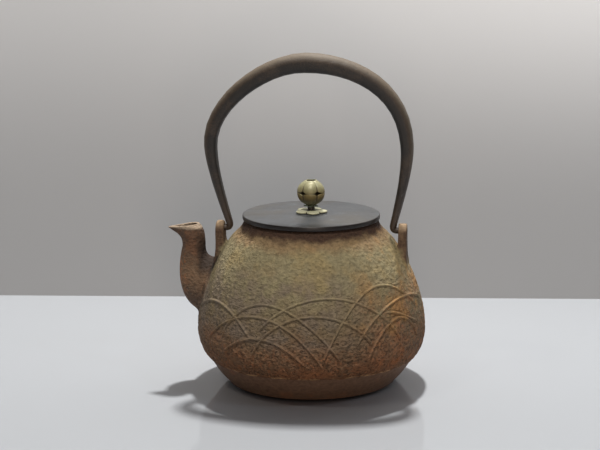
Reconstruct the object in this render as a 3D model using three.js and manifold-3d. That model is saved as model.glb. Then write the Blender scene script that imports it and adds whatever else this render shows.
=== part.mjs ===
// A cast iron kettle with a curved spout, a forged bail handle and a bronze lid with a petalled knob.
// Millimetres, +Z up. The origin is the centre of the flat base, the spout points along -X, and the
// bail stands upright in the XZ plane and swings about the X axis through the two ears.
// The body is one hollow casting: shell, spout and ears are joined here as the poured iron joins them.

import * as THREE from "three";
import { mergeVertices } from "three/addons/utils/BufferGeometryUtils.js";
import Module from "manifold-3d";

const wasm = await Module();
wasm.setup();

const GAP = 0.3; // between pieces that rest on each other
const LOOSE = 0.35; // round a pin or stem that turns in its hole

// Body shell
const BASE_RADIUS = 52; // the flat that the kettle stands on
const BAND_FOOT_RADIUS = 61.5; // lower edge of the plain band
const BAND_FOOT_HEIGHT = 2.2;
const BAND_BOW = 1.1; // how far the band swells between its edges
const SEAM_RADIUS = 75.8; // where the upper and lower moulds met
const SEAM_HEIGHT = 21;
const BELLY_RADIUS = 83.4;
const BELLY_HEIGHT = 41;
const NECK_RADIUS = 53.5; // foot of the short neck under the lid
const NECK_HEIGHT = 112;
const RIM_RADIUS = 48.6;
const RIM_HEIGHT = 120.7;
const MOUTH_RADIUS = 42;
const LIP_DEPTH = 7; // straight bore of the mouth
const WALL = 3.2;
const FLOOR = 3.8;

// Cast relief: bent blades of grass, the same on the front and, turned half round, on the back. Each is a
// cubic curve of four [azimuth in degrees, share of the way from the seam's height to the neck's].
const BLADE_HALF_WIDTH = 1.1;
const BLADE_RELIEF = 0.8;
const BLADE_SUNK = 0.6; // depth of a blade's foot in the shell, and of its ends
const BLADES = [
  [[195, 0.39], [210, 0.6], [233, 0.57], [245, 0.31]],
  [[228, 0.33], [246, 0.8], [277, 0.52], [291, 0.14]],
  [[215, 0.24], [241, 0.61], [266, 0.55], [283, 0.08]],
  [[249, 0.36], [268, 0.78], [312, 0.7], [326, 0.23]],
  [[246, 0.16], [256, 0.59], [293, 0.62], [308, 0.24]],
  [[227, 0.15], [244, 0.39], [260, 0.37], [274, 0.11]],
  [[281, 0.12], [293, 0.63], [316, 0.92], [346, 0.45]],
  [[298, 0.25], [309, 0.57], [337, 0.65], [357, 0.48]],
  [[304, 0.12], [311, 0.42], [332, 0.59], [342, 0.2]],
  [[316, 0.48], [323, 0.51], [336, 0.38], [344, 0.34]],
];
const FLASH_RELIEF = 0.5; // fin left where the moulds met
const FLASH_HALF_HEIGHT = 0.9;

// Spout
const SPOUT_ROOT_LOW = 50; // height where its underside leaves the body
const SPOUT_CROTCH = 90; // height of the hollow between spout and ear
const SPOUT_REACH = 101; // pull of the swelling under the neck, from the kettle's axis
const SPOUT_NECK_X = -86.7;
const SPOUT_NECK_HEIGHT = 99;
const SPOUT_NECK_RADIUS = 8.5;
const SPOUT_ROOT_HALF_WIDTH = 16;
const SPOUT_MOUTH_HEIGHT = 115.2;
const BEAK_REACH = 8.5; // the pouring lip, past the neck's front
const BEAK_DROP = 1.9; // fall of the mouth's rim from its back to its front
const SPOUT_WALL = 2.8;
const SPOUT_ROOT_WALL = 5;
const SPOUT_LIP_WALL = 1.8;

// Ears
const EAR_INNER_X = 63.8;
const EAR_THICKNESS = 6;
const EAR_ARCH_RADIUS = 7;
const EAR_TOP = 118.2;
const EAR_ROOT_HALF_WIDTH = 11;
const EAR_ROOT_HEIGHT = 84;
const EAR_EDGE = 0.8;

// Bail handle
const PIVOT_HEIGHT = 113;
const PIN_RADIUS = 2.3;
const BAIL_END_X = 60.3; // the leg just above its elbow
const BAIL_END_RISE = 5; // that place above the pivot
const BAIL_HALF_SPAN = 71.45;
const BAIL_SPAN_HEIGHT = 174; // where the bow is widest
const BAIL_APEX_HEIGHT = 234.4;
const BAIL_HAUNCH_RISE = 35.4; // fullness of the bow above its widest place
const BAIL_HAUNCH_REACH = 33.8; // fullness of the bow beside its apex
const BAIL_UNEVEN = 5; // the hammered bow is fuller on the side away from the spout
const BAIL_LEAN = 3.8; // and its apex leans towards the spout
const BAIL_END_HALF = [2.1, 3.4]; // half thickness and half width of the section
const BAIL_SPAN_HALF = [4.7, 6];
const BAIL_HAUNCH_HALF = [6.1, 7.2];
const BAIL_APEX_HALF = [7.2, 8];

// Lid
const LID_RADIUS = 50;
const LID_THICKNESS = 3.5;
const LID_DOME = 0.8;
const LID_EDGE = 0.7;
const COLLAR_WALL = 3;
const COLLAR_DEPTH = 7.2;
const COLLAR_PLAY = 0.5;

// Knob
const KNOB_RADIUS = 10.2;
const KNOB_CENTRE_RISE = 16.3; // above the middle of the lid's top
const KNOB_WALL = 0.9;
const KNOB_TOP_HOLE = 4;
const PETALS = 5;
const PETAL_GROOVE = 0.11; // depth of the grooves, as a share of the radius
const LOZENGE = 0.17; // half height of the openings, as a share of the radius
const STEM_RADIUS = 1.8;
const STEM_COLLAR_RADIUS = 2.6;
const STEM_RIVET_RADIUS = 3.2;
const STEM_HEAD_RADIUS = 3.2;
const STEM_HEAD_THICKNESS = 1.1;
const WASHER_RADIUS = 5;
const WASHER_THICKNESS = 1;
const SEAT_REACH = 11.9;
const SEAT_PETAL_RADIUS = 4.6;
const SEAT_THICKNESS = 1.6;
const SEAT_TURN = 17.5; // degrees: the seat's petals stand askew to the knob's
const CALYX_REACH = 5.4;
const CALYX_NOTCH = 2.9;
const CALYX_THICKNESS = 0.8;

// Facets
const ROUND = 52;
const MIDDLE_ROUND = 44;
const SMALL_ROUND = 20;

const iron = new THREE.MeshStandardMaterial({ color: 0x6f5c41, roughness: 0.9, metalness: 0.3 });
const forged = new THREE.MeshStandardMaterial({ color: 0x3b322b, roughness: 0.6, metalness: 0.6 });
const bronze = new THREE.MeshStandardMaterial({ color: 0x474a4c, roughness: 0.45, metalness: 0.7 });
const brass = new THREE.MeshStandardMaterial({ color: 0xa39f76, roughness: 0.5, metalness: 0.7 });

// A closed geometry as a solid that can be joined and cut.
function solid(geometry) {
  const bare = geometry.clone();
  bare.deleteAttribute("normal");
  bare.deleteAttribute("uv");
  const merged = mergeVertices(bare, 1e-4);
  const index = merged.index.array;
  const corners = [];
  for (let i = 0; i < index.length; i += 3) {
    const [a, b, c] = [index[i], index[i + 1], index[i + 2]];
    if (a !== b && b !== c && c !== a) corners.push(a, b, c);
  }
  const vertProperties = merged.attributes.position.array;
  const build = (list) =>
    new wasm.Manifold(new wasm.Mesh({ numProp: 3, vertProperties, triVerts: new Uint32Array(list) }));
  const made = build(corners);
  return made.volume() > 0 ? made : build(corners.reverse());
}

// A solid, or a closed geometry, as a named mesh.
function piece(name, shape, material) {
  const mesh = (shape.isBufferGeometry ? solid(shape) : shape).getMesh();
  const geometry = new THREE.BufferGeometry();
  geometry.setAttribute("position", new THREE.BufferAttribute(mesh.vertProperties, 3));
  geometry.setIndex(new THREE.BufferAttribute(mesh.triVerts, 1));
  geometry.computeVertexNormals();
  const made = new THREE.Mesh(geometry, material);
  made.name = name;
  return made;
}

// A profile of (radius, height) points turned about Z.
function turned(points, segments = ROUND) {
  return new THREE.LatheGeometry(points, segments).rotateX(Math.PI / 2);
}

// Rings of the same number of points, joined into a skin. The ends are capped, or joined to each other.
function skin(rings, closed = false) {
  const sides = rings[0].length;
  const points = rings.flat();
  const index = [];
  const quad = (a, b, c, d) => index.push(a, b, c, a, c, d);
  for (let i = 0; i < (closed ? rings.length : rings.length - 1); i++) {
    const j = (i + 1) % rings.length;
    for (let k = 0; k < sides; k++) {
      const m = (k + 1) % sides;
      quad(i * sides + k, i * sides + m, j * sides + m, j * sides + k);
    }
  }
  if (!closed) {
    const middle = (ring) => ring.reduce((sum, p) => sum.add(p), new THREE.Vector3()).divideScalar(sides);
    const [first, last] = [points.length, points.length + 1];
    points.push(middle(rings[0]), middle(rings[rings.length - 1]));
    for (let k = 0; k < sides; k++) {
      const m = (k + 1) % sides;
      const top = (rings.length - 1) * sides;
      index.push(first, m, k, last, top + k, top + m);
    }
  }
  const geometry = new THREE.BufferGeometry().setFromPoints(points);
  return geometry.setIndex(index);
}

// Smooth blend from 0 to 1.
const ease = (t) => THREE.MathUtils.smoothstep(t, 0, 1);

// The outside of the shell, from the band's foot to the rim, as curves in (radius, height).
function shellCurves() {
  const v = (x, y) => new THREE.Vector2(x, y);
  const foot = v(BAND_FOOT_RADIUS, BAND_FOOT_HEIGHT);
  const seam = v(SEAM_RADIUS, SEAM_HEIGHT);
  const belly = v(BELLY_RADIUS, BELLY_HEIGHT);
  const neck = v(NECK_RADIUS, NECK_HEIGHT);
  const rim = v(RIM_RADIUS, RIM_HEIGHT);
  const out = v(seam.y - foot.y, foot.x - seam.x).normalize();
  const swell = foot.clone().lerp(seam, 0.5).addScaledVector(out, 2 * BAND_BOW);
  const lower = belly.y - seam.y;
  const upper = neck.y - belly.y;
  return {
    band: new THREE.QuadraticBezierCurve(foot, swell, seam),
    belly: new THREE.CubicBezierCurve(
      seam, v(seam.x + 0.57 * (belly.x - seam.x), seam.y + 0.1 * lower),
      v(belly.x, belly.y - 0.34 * lower), belly),
    shoulder: new THREE.CubicBezierCurve(
      belly, v(belly.x, belly.y + 0.34 * upper),
      v(neck.x + 0.51 * (belly.x - neck.x), neck.y - 0.19 * upper), neck),
    neck: new THREE.QuadraticBezierCurve(neck, v(rim.x + 0.9, neck.y + 0.45 * (rim.y - neck.y)), rim),
  };
}

// Points of a curve, set in from it by the wall.
function inset(curve, count, wall, from = 0, to = 1) {
  return Array.from({ length: count + 1 }, (_, i) => {
    const t = from + ((to - from) * i) / count;
    const along = curve.getTangent(t);
    return curve.getPoint(t).add(new THREE.Vector2(-along.y, along.x).multiplyScalar(wall));
  });
}

function shellOutside() {
  const { band, belly, shoulder, neck } = shellCurves();
  const besideSeam = (p) => Math.abs(p.y - SEAM_HEIGHT) < 2 * FLASH_HALF_HEIGHT;
  const spread = (curve) => FLASH_HALF_HEIGHT / curve.getLength();
  return solid(turned([
    new THREE.Vector2(0, 0),
    new THREE.Vector2(BASE_RADIUS, 0),
    ...band.getPoints(4).filter((p) => !besideSeam(p)),
    band.getPointAt(1 - spread(band)),
    new THREE.Vector2(SEAM_RADIUS + FLASH_RELIEF, SEAM_HEIGHT),
    belly.getPointAt(spread(belly)),
    ...belly.getPoints(5).filter((p) => !besideSeam(p)),
    ...shoulder.getPoints(10).slice(1),
    ...neck.getPoints(2).slice(1),
    new THREE.Vector2(0, RIM_HEIGHT),
  ]));
}

// The shell's outside at an azimuth and a height, with the direction that points out of it.
function shellPlace(azimuth, height) {
  const { belly, shoulder } = shellCurves();
  const points = [...belly.getPoints(40), ...shoulder.getPoints(60).slice(1)];
  const next = Math.max(1, points.findIndex((p) => p.y > height));
  const [a, b] = [points[next - 1], points[next]];
  const radius = THREE.MathUtils.mapLinear(height, a.y, b.y, a.x, b.x);
  const turn = THREE.MathUtils.degToRad(azimuth);
  const ahead = new THREE.Vector3(Math.cos(turn), Math.sin(turn), 0);
  const out = ahead.clone().multiplyScalar(b.y - a.y).setZ(a.x - b.x).normalize();
  return { point: ahead.multiplyScalar(radius).setZ(height), out };
}

// A blade of grass: a ridge with a pitched section that dives into the shell at both ends.
function blade(controls, turn) {
  const path = new THREE.CubicBezierCurve(...controls.map(([azimuth, share]) =>
    new THREE.Vector2(azimuth + turn, THREE.MathUtils.lerp(SEAM_HEIGHT, NECK_HEIGHT, share))));
  const steps = 7;
  const places = Array.from({ length: steps + 1 }, (_, i) => {
    const p = path.getPoint(i / steps);
    return shellPlace(p.x, p.y);
  });
  return solid(skin(places.map(({ point, out }, i) => {
    const along = places[Math.min(i + 1, steps)].point.clone().sub(places[Math.max(i - 1, 0)].point);
    const aside = out.clone().cross(along).setLength(BLADE_HALF_WIDTH + BLADE_SUNK);
    const rise = i === 0 || i === steps ? -BLADE_SUNK / 2 : BLADE_RELIEF;
    const foot = point.clone().addScaledVector(out, -BLADE_SUNK);
    return [foot.clone().add(aside), point.clone().addScaledVector(out, rise), foot.clone().sub(aside)];
  })));
}

function grass() {
  return [0, 180].flatMap((turn) => BLADES.map((controls) => blade(controls, turn)))
    .reduce((whole, one) => whole.add(one));
}

function chamber() {
  const { band, belly, shoulder } = shellCurves();
  const wallPoints = [
    ...inset(band, 3, WALL, 0.12, 1),
    ...inset(belly, 3, WALL),
    ...inset(shoulder, 7, WALL).slice(1),
  ];
  return solid(turned([
    new THREE.Vector2(0, FLOOR),
    new THREE.Vector2(wallPoints[0].x - 1, FLOOR),
    ...wallPoints.filter((p) => p.y > FLOOR && p.y < RIM_HEIGHT - LIP_DEPTH),
    new THREE.Vector2(MOUTH_RADIUS, RIM_HEIGHT - LIP_DEPTH),
    new THREE.Vector2(MOUTH_RADIUS, RIM_HEIGHT + 1),
    new THREE.Vector2(0, RIM_HEIGHT + 1),
  ], MIDDLE_ROUND));
}

// The spout's front and back edges in the XZ plane. Its rings run from one edge to the other.
function spoutRails() {
  const v = (x, z) => new THREE.Vector3(x, 0, z);
  const neckFront = SPOUT_NECK_X - SPOUT_NECK_RADIUS;
  const neckBack = SPOUT_NECK_X + SPOUT_NECK_RADIUS;
  const lift = SPOUT_NECK_HEIGHT - SPOUT_ROOT_LOW;
  const mouth = SPOUT_MOUTH_HEIGHT - SPOUT_NECK_HEIGHT;
  const lowerFront = new THREE.CubicBezierCurve3(
    v(-0.96 * BELLY_RADIUS, SPOUT_ROOT_LOW), v(-0.96 * SPOUT_REACH, SPOUT_ROOT_LOW + 0.08 * lift),
    v(-SPOUT_REACH, SPOUT_ROOT_LOW + 0.53 * lift), v(neckFront, SPOUT_NECK_HEIGHT));
  const lowerBack = new THREE.CubicBezierCurve3(
    v(-EAR_INNER_X - 1, SPOUT_CROTCH + 1), v(neckBack + 3, SPOUT_CROTCH - 1),
    v(neckBack, SPOUT_CROTCH + 2), v(neckBack, SPOUT_NECK_HEIGHT));
  const upperFront = new THREE.CubicBezierCurve3(
    v(neckFront, SPOUT_NECK_HEIGHT), v(neckFront, SPOUT_NECK_HEIGHT + 0.3 * mouth),
    v(neckFront - 0.6, SPOUT_NECK_HEIGHT + 0.5 * mouth),
    v(neckFront - 2.2, SPOUT_MOUTH_HEIGHT - BEAK_DROP));
  const upperBack = new THREE.CubicBezierCurve3(
    v(neckBack, SPOUT_NECK_HEIGHT), v(neckBack, SPOUT_NECK_HEIGHT + 0.5 * mouth),
    v(neckBack - 1, SPOUT_MOUTH_HEIGHT - 2.5), v(neckBack - 4.2, SPOUT_MOUTH_HEIGHT));
  return { lowerFront, lowerBack, upperFront, upperBack };
}

// One ring of the spout: an oval between two points of the rails, drawn out at its front by the beak.
function spoutRing(front, back, halfWidth, beak, sides) {
  const centre = front.clone().add(back).multiplyScalar(0.5);
  const half = front.clone().sub(centre);
  const ahead = half.clone().normalize();
  return Array.from({ length: sides }, (_, k) => {
    const turn = (2 * Math.PI * k) / sides;
    const nose = beak * Math.max(0, Math.cos(turn)) ** 7;
    return centre.clone().addScaledVector(half, Math.cos(turn)).addScaledVector(ahead, nose)
      .add(new THREE.Vector3(0, halfWidth * Math.sin(turn), 0));
  });
}

// A ring that lies inside the given edges by the wall's thickness.
function boreRing(front, back, halfWidth, wall, beak, sides) {
  const across = back.clone().sub(front).normalize().multiplyScalar(wall);
  return spoutRing(front.clone().add(across), back.clone().sub(across), halfWidth - wall, beak, sides);
}

const rootHalfWidth = (t) => THREE.MathUtils.lerp(SPOUT_ROOT_HALF_WIDTH, SPOUT_NECK_RADIUS, ease(t));

function spoutOutside() {
  const { lowerFront, lowerBack, upperFront, upperBack } = spoutRails();
  const [below, above, sides] = [12, 6, 24];
  const rings = [];
  for (let i = 0; i < below; i++) {
    const t = i / below;
    rings.push(spoutRing(lowerFront.getPoint(t), lowerBack.getPoint(t), rootHalfWidth(t), 0, sides));
  }
  for (let i = 0; i <= above; i++) {
    const t = i / above;
    const halfWidth = SPOUT_NECK_RADIUS - 1.2 * t ** 6;
    rings.push(spoutRing(upperFront.getPoint(t), upperBack.getPoint(t), halfWidth, BEAK_REACH * t ** 3, sides));
  }
  return solid(skin(rings));
}

function spoutBore() {
  const { lowerFront, lowerBack, upperFront, upperBack } = spoutRails();
  const [below, above, sides] = [8, 3, 16];
  const rings = [];
  const inward = new THREE.Vector3(3 * WALL, 0, 0);
  rings.push(boreRing(lowerFront.getPoint(0).add(inward), lowerBack.getPoint(0).add(inward),
    rootHalfWidth(0), SPOUT_ROOT_WALL, 0, sides));
  for (let i = 0; i < below; i++) {
    const t = i / below;
    const wall = THREE.MathUtils.lerp(SPOUT_ROOT_WALL, SPOUT_WALL, ease(t));
    rings.push(boreRing(lowerFront.getPoint(t), lowerBack.getPoint(t), rootHalfWidth(t), wall, 0, sides));
  }
  for (let i = 0; i <= above; i++) {
    const t = i / above;
    const wall = THREE.MathUtils.lerp(SPOUT_WALL, SPOUT_LIP_WALL, t);
    rings.push(boreRing(upperFront.getPoint(t), upperBack.getPoint(t), SPOUT_NECK_RADIUS - 1.2 * t ** 6, wall,
      (BEAK_REACH - SPOUT_LIP_WALL) * t ** 6, sides));
  }
  const top = rings[rings.length - 1].map((p) => p.clone().add(new THREE.Vector3(0, 0, 2)));
  return solid(skin([...rings, top]));
}

// An arched tab in the YZ plane with softened edges and the hole for the bail's pin.
function ear(side) {
  const arch = EAR_ARCH_RADIUS - EAR_EDGE;
  const centre = EAR_TOP - EAR_ARCH_RADIUS;
  const outline = new THREE.Shape();
  outline.moveTo(-EAR_ROOT_HALF_WIDTH, EAR_ROOT_HEIGHT);
  outline.lineTo(EAR_ROOT_HALF_WIDTH, EAR_ROOT_HEIGHT);
  outline.bezierCurveTo(EAR_ROOT_HALF_WIDTH, EAR_ROOT_HEIGHT + 8, arch, centre - 12, arch, centre);
  outline.absarc(0, centre, arch, 0, Math.PI, false);
  outline.bezierCurveTo(-arch, centre - 12, -EAR_ROOT_HALF_WIDTH, EAR_ROOT_HEIGHT + 8,
    -EAR_ROOT_HALF_WIDTH, EAR_ROOT_HEIGHT);
  const tab = new THREE.ExtrudeGeometry(outline, {
    depth: EAR_THICKNESS - 2 * EAR_EDGE, bevelThickness: EAR_EDGE, bevelSize: EAR_EDGE,
    bevelSegments: 1, curveSegments: 6,
  });
  tab.rotateX(Math.PI / 2).rotateZ(Math.PI / 2);
  const start = side > 0 ? EAR_INNER_X : -EAR_INNER_X - EAR_THICKNESS;
  const hole = new THREE.CylinderGeometry(PIN_RADIUS + LOOSE, PIN_RADIUS + LOOSE, EAR_THICKNESS + 2, 24);
  hole.rotateZ(Math.PI / 2).translate(start + EAR_THICKNESS / 2, 0, PIVOT_HEIGHT);
  return solid(tab.translate(start + EAR_EDGE, 0, 0)).subtract(solid(hole));
}

function kettleBody() {
  return shellOutside().add(grass()).add(spoutOutside()).add(ear(-1)).add(ear(1))
    .subtract(chamber()).subtract(spoutBore());
}

// One half of the bail's centre line, from the end of its pin to the apex.
// side is 1 away from the spout and -1 towards it.
function bailHalf(side) {
  const fuller = side * BAIL_UNEVEN;
  const v = (x, z) => {
    const lean = (BAIL_LEAN * (z - PIVOT_HEIGHT)) / (BAIL_APEX_HEIGHT - PIVOT_HEIGHT);
    return new THREE.Vector3(side * x - lean, 0, z);
  };
  const end = PIVOT_HEIGHT + BAIL_END_RISE;
  const climb = BAIL_SPAN_HEIGHT - end;
  const turn = BAIL_END_X + 3;
  return {
    pin: new THREE.LineCurve3(v(EAR_INNER_X + EAR_THICKNESS - GAP, PIVOT_HEIGHT), v(turn, PIVOT_HEIGHT)),
    elbow: new THREE.CubicBezierCurve3(
      v(turn, PIVOT_HEIGHT), v(BAIL_END_X, PIVOT_HEIGHT),
      v(BAIL_END_X - 1.1, PIVOT_HEIGHT + 0.2 * BAIL_END_RISE), v(BAIL_END_X, end)),
    leg: new THREE.CubicBezierCurve3(
      v(BAIL_END_X, end), v(BAIL_END_X + 5.7, end + 0.36 * climb),
      v(BAIL_HALF_SPAN, BAIL_SPAN_HEIGHT - 0.28 * climb), v(BAIL_HALF_SPAN, BAIL_SPAN_HEIGHT)),
    arch: new THREE.CubicBezierCurve3(
      v(BAIL_HALF_SPAN, BAIL_SPAN_HEIGHT), v(BAIL_HALF_SPAN, BAIL_SPAN_HEIGHT + BAIL_HAUNCH_RISE + fuller),
      v(BAIL_HAUNCH_REACH + fuller, BAIL_APEX_HEIGHT), v(0, BAIL_APEX_HEIGHT)),
  };
}

// One ring of the bail: round at its outer side, squarer at its inner side, and a circle at the pin.
function bailRing(centre, along, [halfThickness, halfWidth], square, sides) {
  const out = new THREE.Vector3(along.z, 0, -along.x).normalize();
  return Array.from({ length: sides }, (_, k) => {
    const turn = (2 * Math.PI * (k + 0.5)) / sides;
    const [c, s] = [Math.cos(turn), Math.sin(turn)];
    const power = s < 0 ? 1 - 0.45 * square : 1 - 0.15 * square;
    const across = Math.sign(c) * Math.abs(c) ** power;
    const rise = Math.sign(s) * Math.abs(s) ** power;
    return centre.clone().addScaledVector(out, halfThickness * rise)
      .add(new THREE.Vector3(0, halfWidth * across, 0));
  });
}

const mix = (a, b, t) => a.map((value, i) => THREE.MathUtils.lerp(value, b[i], t));

// Rings from the pin to the apex of one half, with the section growing on the way.
function bailRings(side, sides) {
  const { pin, elbow, leg, arch } = bailHalf(side);
  const round = [PIN_RADIUS, PIN_RADIUS];
  const stretches = [
    { curve: pin, steps: 2, size: () => round, square: () => 0 },
    { curve: elbow, steps: 6, size: (t) => mix(round, BAIL_END_HALF, ease(t)), square: (t) => 0.6 * t },
    { curve: leg, steps: 9, size: (t) => mix(BAIL_END_HALF, BAIL_SPAN_HALF, t), square: (t) => 0.6 + 0.4 * t },
    {
      curve: arch, steps: 14, square: () => 1,
      size: (t) => (t < 0.5
        ? mix(BAIL_SPAN_HALF, BAIL_HAUNCH_HALF, 2 * t)
        : mix(BAIL_HAUNCH_HALF, BAIL_APEX_HALF, 2 * t - 1)),
    },
  ];
  const rings = [];
  for (const { curve, steps, size, square } of stretches) {
    for (let i = 0; i < steps; i++) {
      const t = i / steps;
      const along = curve.getTangent(t).multiplyScalar(-side);
      rings.push(bailRing(curve.getPoint(t), along, size(t), square(t), sides));
    }
  }
  return rings;
}

function bail() {
  const sides = 14;
  const { arch } = bailHalf(1);
  const apex = bailRing(arch.getPoint(1), new THREE.Vector3(1, 0, 0), BAIL_APEX_HALF, 1, sides);
  return solid(skin([...bailRings(-1, sides), apex, ...bailRings(1, sides).reverse()]));
}

// The lid: a slightly domed plate and, under it, the collar that drops into the mouth.
const lidUnder = RIM_HEIGHT + GAP;
const lidEdgeTop = lidUnder + LID_THICKNESS;
const lidTop = lidEdgeTop + LID_DOME;

function lid() {
  const hole = STEM_RADIUS + LOOSE;
  const collarOutside = MOUTH_RADIUS - COLLAR_PLAY;
  const collarInside = collarOutside - COLLAR_WALL;
  const collarFoot = lidUnder - COLLAR_DEPTH;
  const outline = new THREE.Path();
  outline.moveTo(hole, lidUnder);
  outline.lineTo(collarInside, lidUnder);
  outline.lineTo(collarInside, collarFoot);
  outline.lineTo(collarOutside, collarFoot);
  outline.lineTo(collarOutside, lidUnder);
  outline.lineTo(LID_RADIUS - LID_EDGE, lidUnder);
  outline.quadraticCurveTo(LID_RADIUS, lidUnder, LID_RADIUS, lidUnder + LID_EDGE);
  outline.lineTo(LID_RADIUS, lidEdgeTop - LID_EDGE);
  outline.quadraticCurveTo(LID_RADIUS, lidEdgeTop, LID_RADIUS - LID_EDGE, lidEdgeTop);
  outline.quadraticCurveTo(LID_RADIUS / 2, lidTop, hole, lidTop);
  outline.lineTo(hole, lidUnder);
  return turned(outline.getPoints(3), MIDDLE_ROUND);
}

// The knob's parts, from the lid upwards.
const seatUnder = lidTop + GAP;
const seatTop = seatUnder + SEAT_THICKNESS;
const knobCentre = lidTop + KNOB_CENTRE_RISE;
const stemHole = STEM_RADIUS + LOOSE;
const lowerPole = knobCentre - Math.sqrt(KNOB_RADIUS ** 2 - stemHole ** 2);
const calyxTop = lowerPole - GAP;
const calyxUnder = calyxTop - CALYX_THICKNESS;

function roundHole(radius) {
  return new THREE.Path().absarc(0, 0, radius, 0, 2 * Math.PI, true);
}

// A flat flower or star with softened edges and a hole for the stem.
function plate(outline, thickness, edge) {
  outline.holes.push(roundHole(stemHole + edge));
  return new THREE.ExtrudeGeometry(outline, {
    depth: thickness - 2 * edge, bevelThickness: edge, bevelSize: edge, bevelOffset: -edge,
    bevelSegments: 1, curveSegments: 5,
  }).translate(0, 0, edge);
}

// Petal arcs, each centred on its own ray, that meet in notches.
function knobSeat() {
  const edge = 0.5;
  const distance = SEAT_REACH - SEAT_PETAL_RADIUS;
  const half = Math.PI / PETALS;
  const notch = distance * Math.cos(half)
    + Math.sqrt(SEAT_PETAL_RADIUS ** 2 - (distance * Math.sin(half)) ** 2);
  const sweep = Math.atan2(notch * Math.sin(half), notch * Math.cos(half) - distance);
  const outline = new THREE.Shape();
  for (let i = 0; i < PETALS; i++) {
    const ray = -Math.PI / 2 + THREE.MathUtils.degToRad(SEAT_TURN) + 2 * half * i;
    outline.absarc(distance * Math.cos(ray), distance * Math.sin(ray), SEAT_PETAL_RADIUS,
      ray - sweep, ray + sweep, false);
  }
  return plate(outline, SEAT_THICKNESS, edge).translate(0, 0, seatUnder);
}

function knobCalyx() {
  const outline = new THREE.Shape();
  for (let i = 0; i < 2 * PETALS; i++) {
    const ray = -Math.PI / 2 + (Math.PI * (i + 1)) / PETALS;
    const reach = i % 2 ? CALYX_REACH : CALYX_NOTCH;
    outline[i ? "lineTo" : "moveTo"](reach * Math.cos(ray), reach * Math.sin(ray));
  }
  return plate(outline, CALYX_THICKNESS, 0.2).translate(0, 0, calyxUnder);
}

// Half of the hollow ball: side 1 is its upper petals, -1 its lower ones. The grooves between the
// petals and the openings at the ball's middle both come from how far a place is from a petal's ray.
function petalShell(side, holeRadius) {
  const columns = PETALS * 8;
  const [outerSteps, innerSteps] = [6, 3];
  const rings = Array.from({ length: columns }, (_, i) => {
    const turn = -Math.PI / 2 + (2 * Math.PI * i) / columns;
    const off = 1 - Math.abs(Math.cos((PETALS / 2) * (turn + Math.PI / 2)));
    const edge = GAP / 2 / KNOB_RADIUS + LOZENGE * off ** 1.6;
    const place = (radius, t) => {
      const pole = Math.acos(holeRadius / radius);
      const latitude = THREE.MathUtils.lerp(edge, pole, t);
      const flat = radius * Math.cos(latitude) * (1 - PETAL_GROOVE * off ** 1.5 * (1 - t ** 3));
      return new THREE.Vector3(flat * Math.cos(turn), flat * Math.sin(turn),
        knobCentre + side * radius * Math.sin(latitude));
    };
    const outer = Array.from({ length: outerSteps + 1 }, (_, j) => place(KNOB_RADIUS, j / outerSteps));
    const inner = Array.from({ length: innerSteps + 1 }, (_, j) =>
      place(KNOB_RADIUS - KNOB_WALL, 1 - j / innerSteps));
    return [...outer, ...inner];
  });
  return skin(rings, true);
}

// The stem: clinched under the lid, collared between seat and ball, and headed inside the ball's foot.
function knobStem() {
  const washerUnder = lidUnder - GAP - WASHER_THICKNESS;
  const rivetTop = washerUnder - GAP;
  const rivetUnder = rivetTop - STEM_HEAD_THICKNESS;
  const headUnder = knobCentre - Math.sqrt((KNOB_RADIUS - KNOB_WALL) ** 2 - STEM_HEAD_RADIUS ** 2) + GAP;
  const outline = new THREE.Path();
  outline.moveTo(0, rivetUnder);
  outline.lineTo(0.6 * STEM_RIVET_RADIUS, rivetUnder);
  outline.quadraticCurveTo(STEM_RIVET_RADIUS, rivetUnder, STEM_RIVET_RADIUS, rivetTop);
  outline.lineTo(STEM_RADIUS, rivetTop);
  outline.lineTo(STEM_RADIUS, seatTop + GAP);
  outline.lineTo(STEM_COLLAR_RADIUS, seatTop + GAP);
  outline.lineTo(STEM_COLLAR_RADIUS, calyxUnder - GAP);
  outline.lineTo(STEM_RADIUS, calyxUnder - GAP);
  outline.lineTo(STEM_RADIUS, headUnder);
  outline.lineTo(STEM_HEAD_RADIUS, headUnder);
  outline.quadraticCurveTo(STEM_HEAD_RADIUS, headUnder + STEM_HEAD_THICKNESS, 0, headUnder + STEM_HEAD_THICKNESS);
  return turned(outline.getPoints(3), SMALL_ROUND);
}

function stemWasher() {
  const [under, top] = [lidUnder - GAP - WASHER_THICKNESS, lidUnder - GAP];
  const corners = [[stemHole, under], [WASHER_RADIUS, under], [WASHER_RADIUS, top], [stemHole, top], [stemHole, under]];
  return turned(corners.map(([r, z]) => new THREE.Vector2(r, z)), SMALL_ROUND);
}

const kettle = new THREE.Group();
kettle.name = "kettle";

const lidGroup = new THREE.Group();
lidGroup.name = "lid_assembly";
lidGroup.add(
  piece("lid", lid(), bronze),
  piece("knob_seat", knobSeat(), brass),
  piece("stem_washer", stemWasher(), bronze),
);

const knobGroup = new THREE.Group();
knobGroup.name = "knob";
knobGroup.add(
  piece("knob_stem", knobStem(), bronze),
  piece("knob_calyx", knobCalyx(), brass),
  piece("knob_lower_petals", petalShell(-1, stemHole), brass),
  piece("knob_upper_petals", petalShell(1, KNOB_TOP_HOLE), brass),
);
lidGroup.add(knobGroup);

kettle.add(piece("kettle_body", kettleBody(), iron), piece("bail_handle", bail(), forged), lidGroup);

export default kettle;
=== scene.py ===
"""Dresses the cast iron kettle: its rough casting, forged bail, patinated lid and petalled knob.

Lengths are in metres in the frame of the CAD model: +Z is up, the spout points along -X, and the
photographed side, with the relief of bent grasses, is -Y. Azimuths are in degrees from +X towards +Y.
"""

from __future__ import annotations

import logging
import math
from collections.abc import Mapping, Sequence
from dataclasses import dataclass
from enum import Enum

import bpy
import numpy as np
from mathutils import Matrix, Vector


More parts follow.
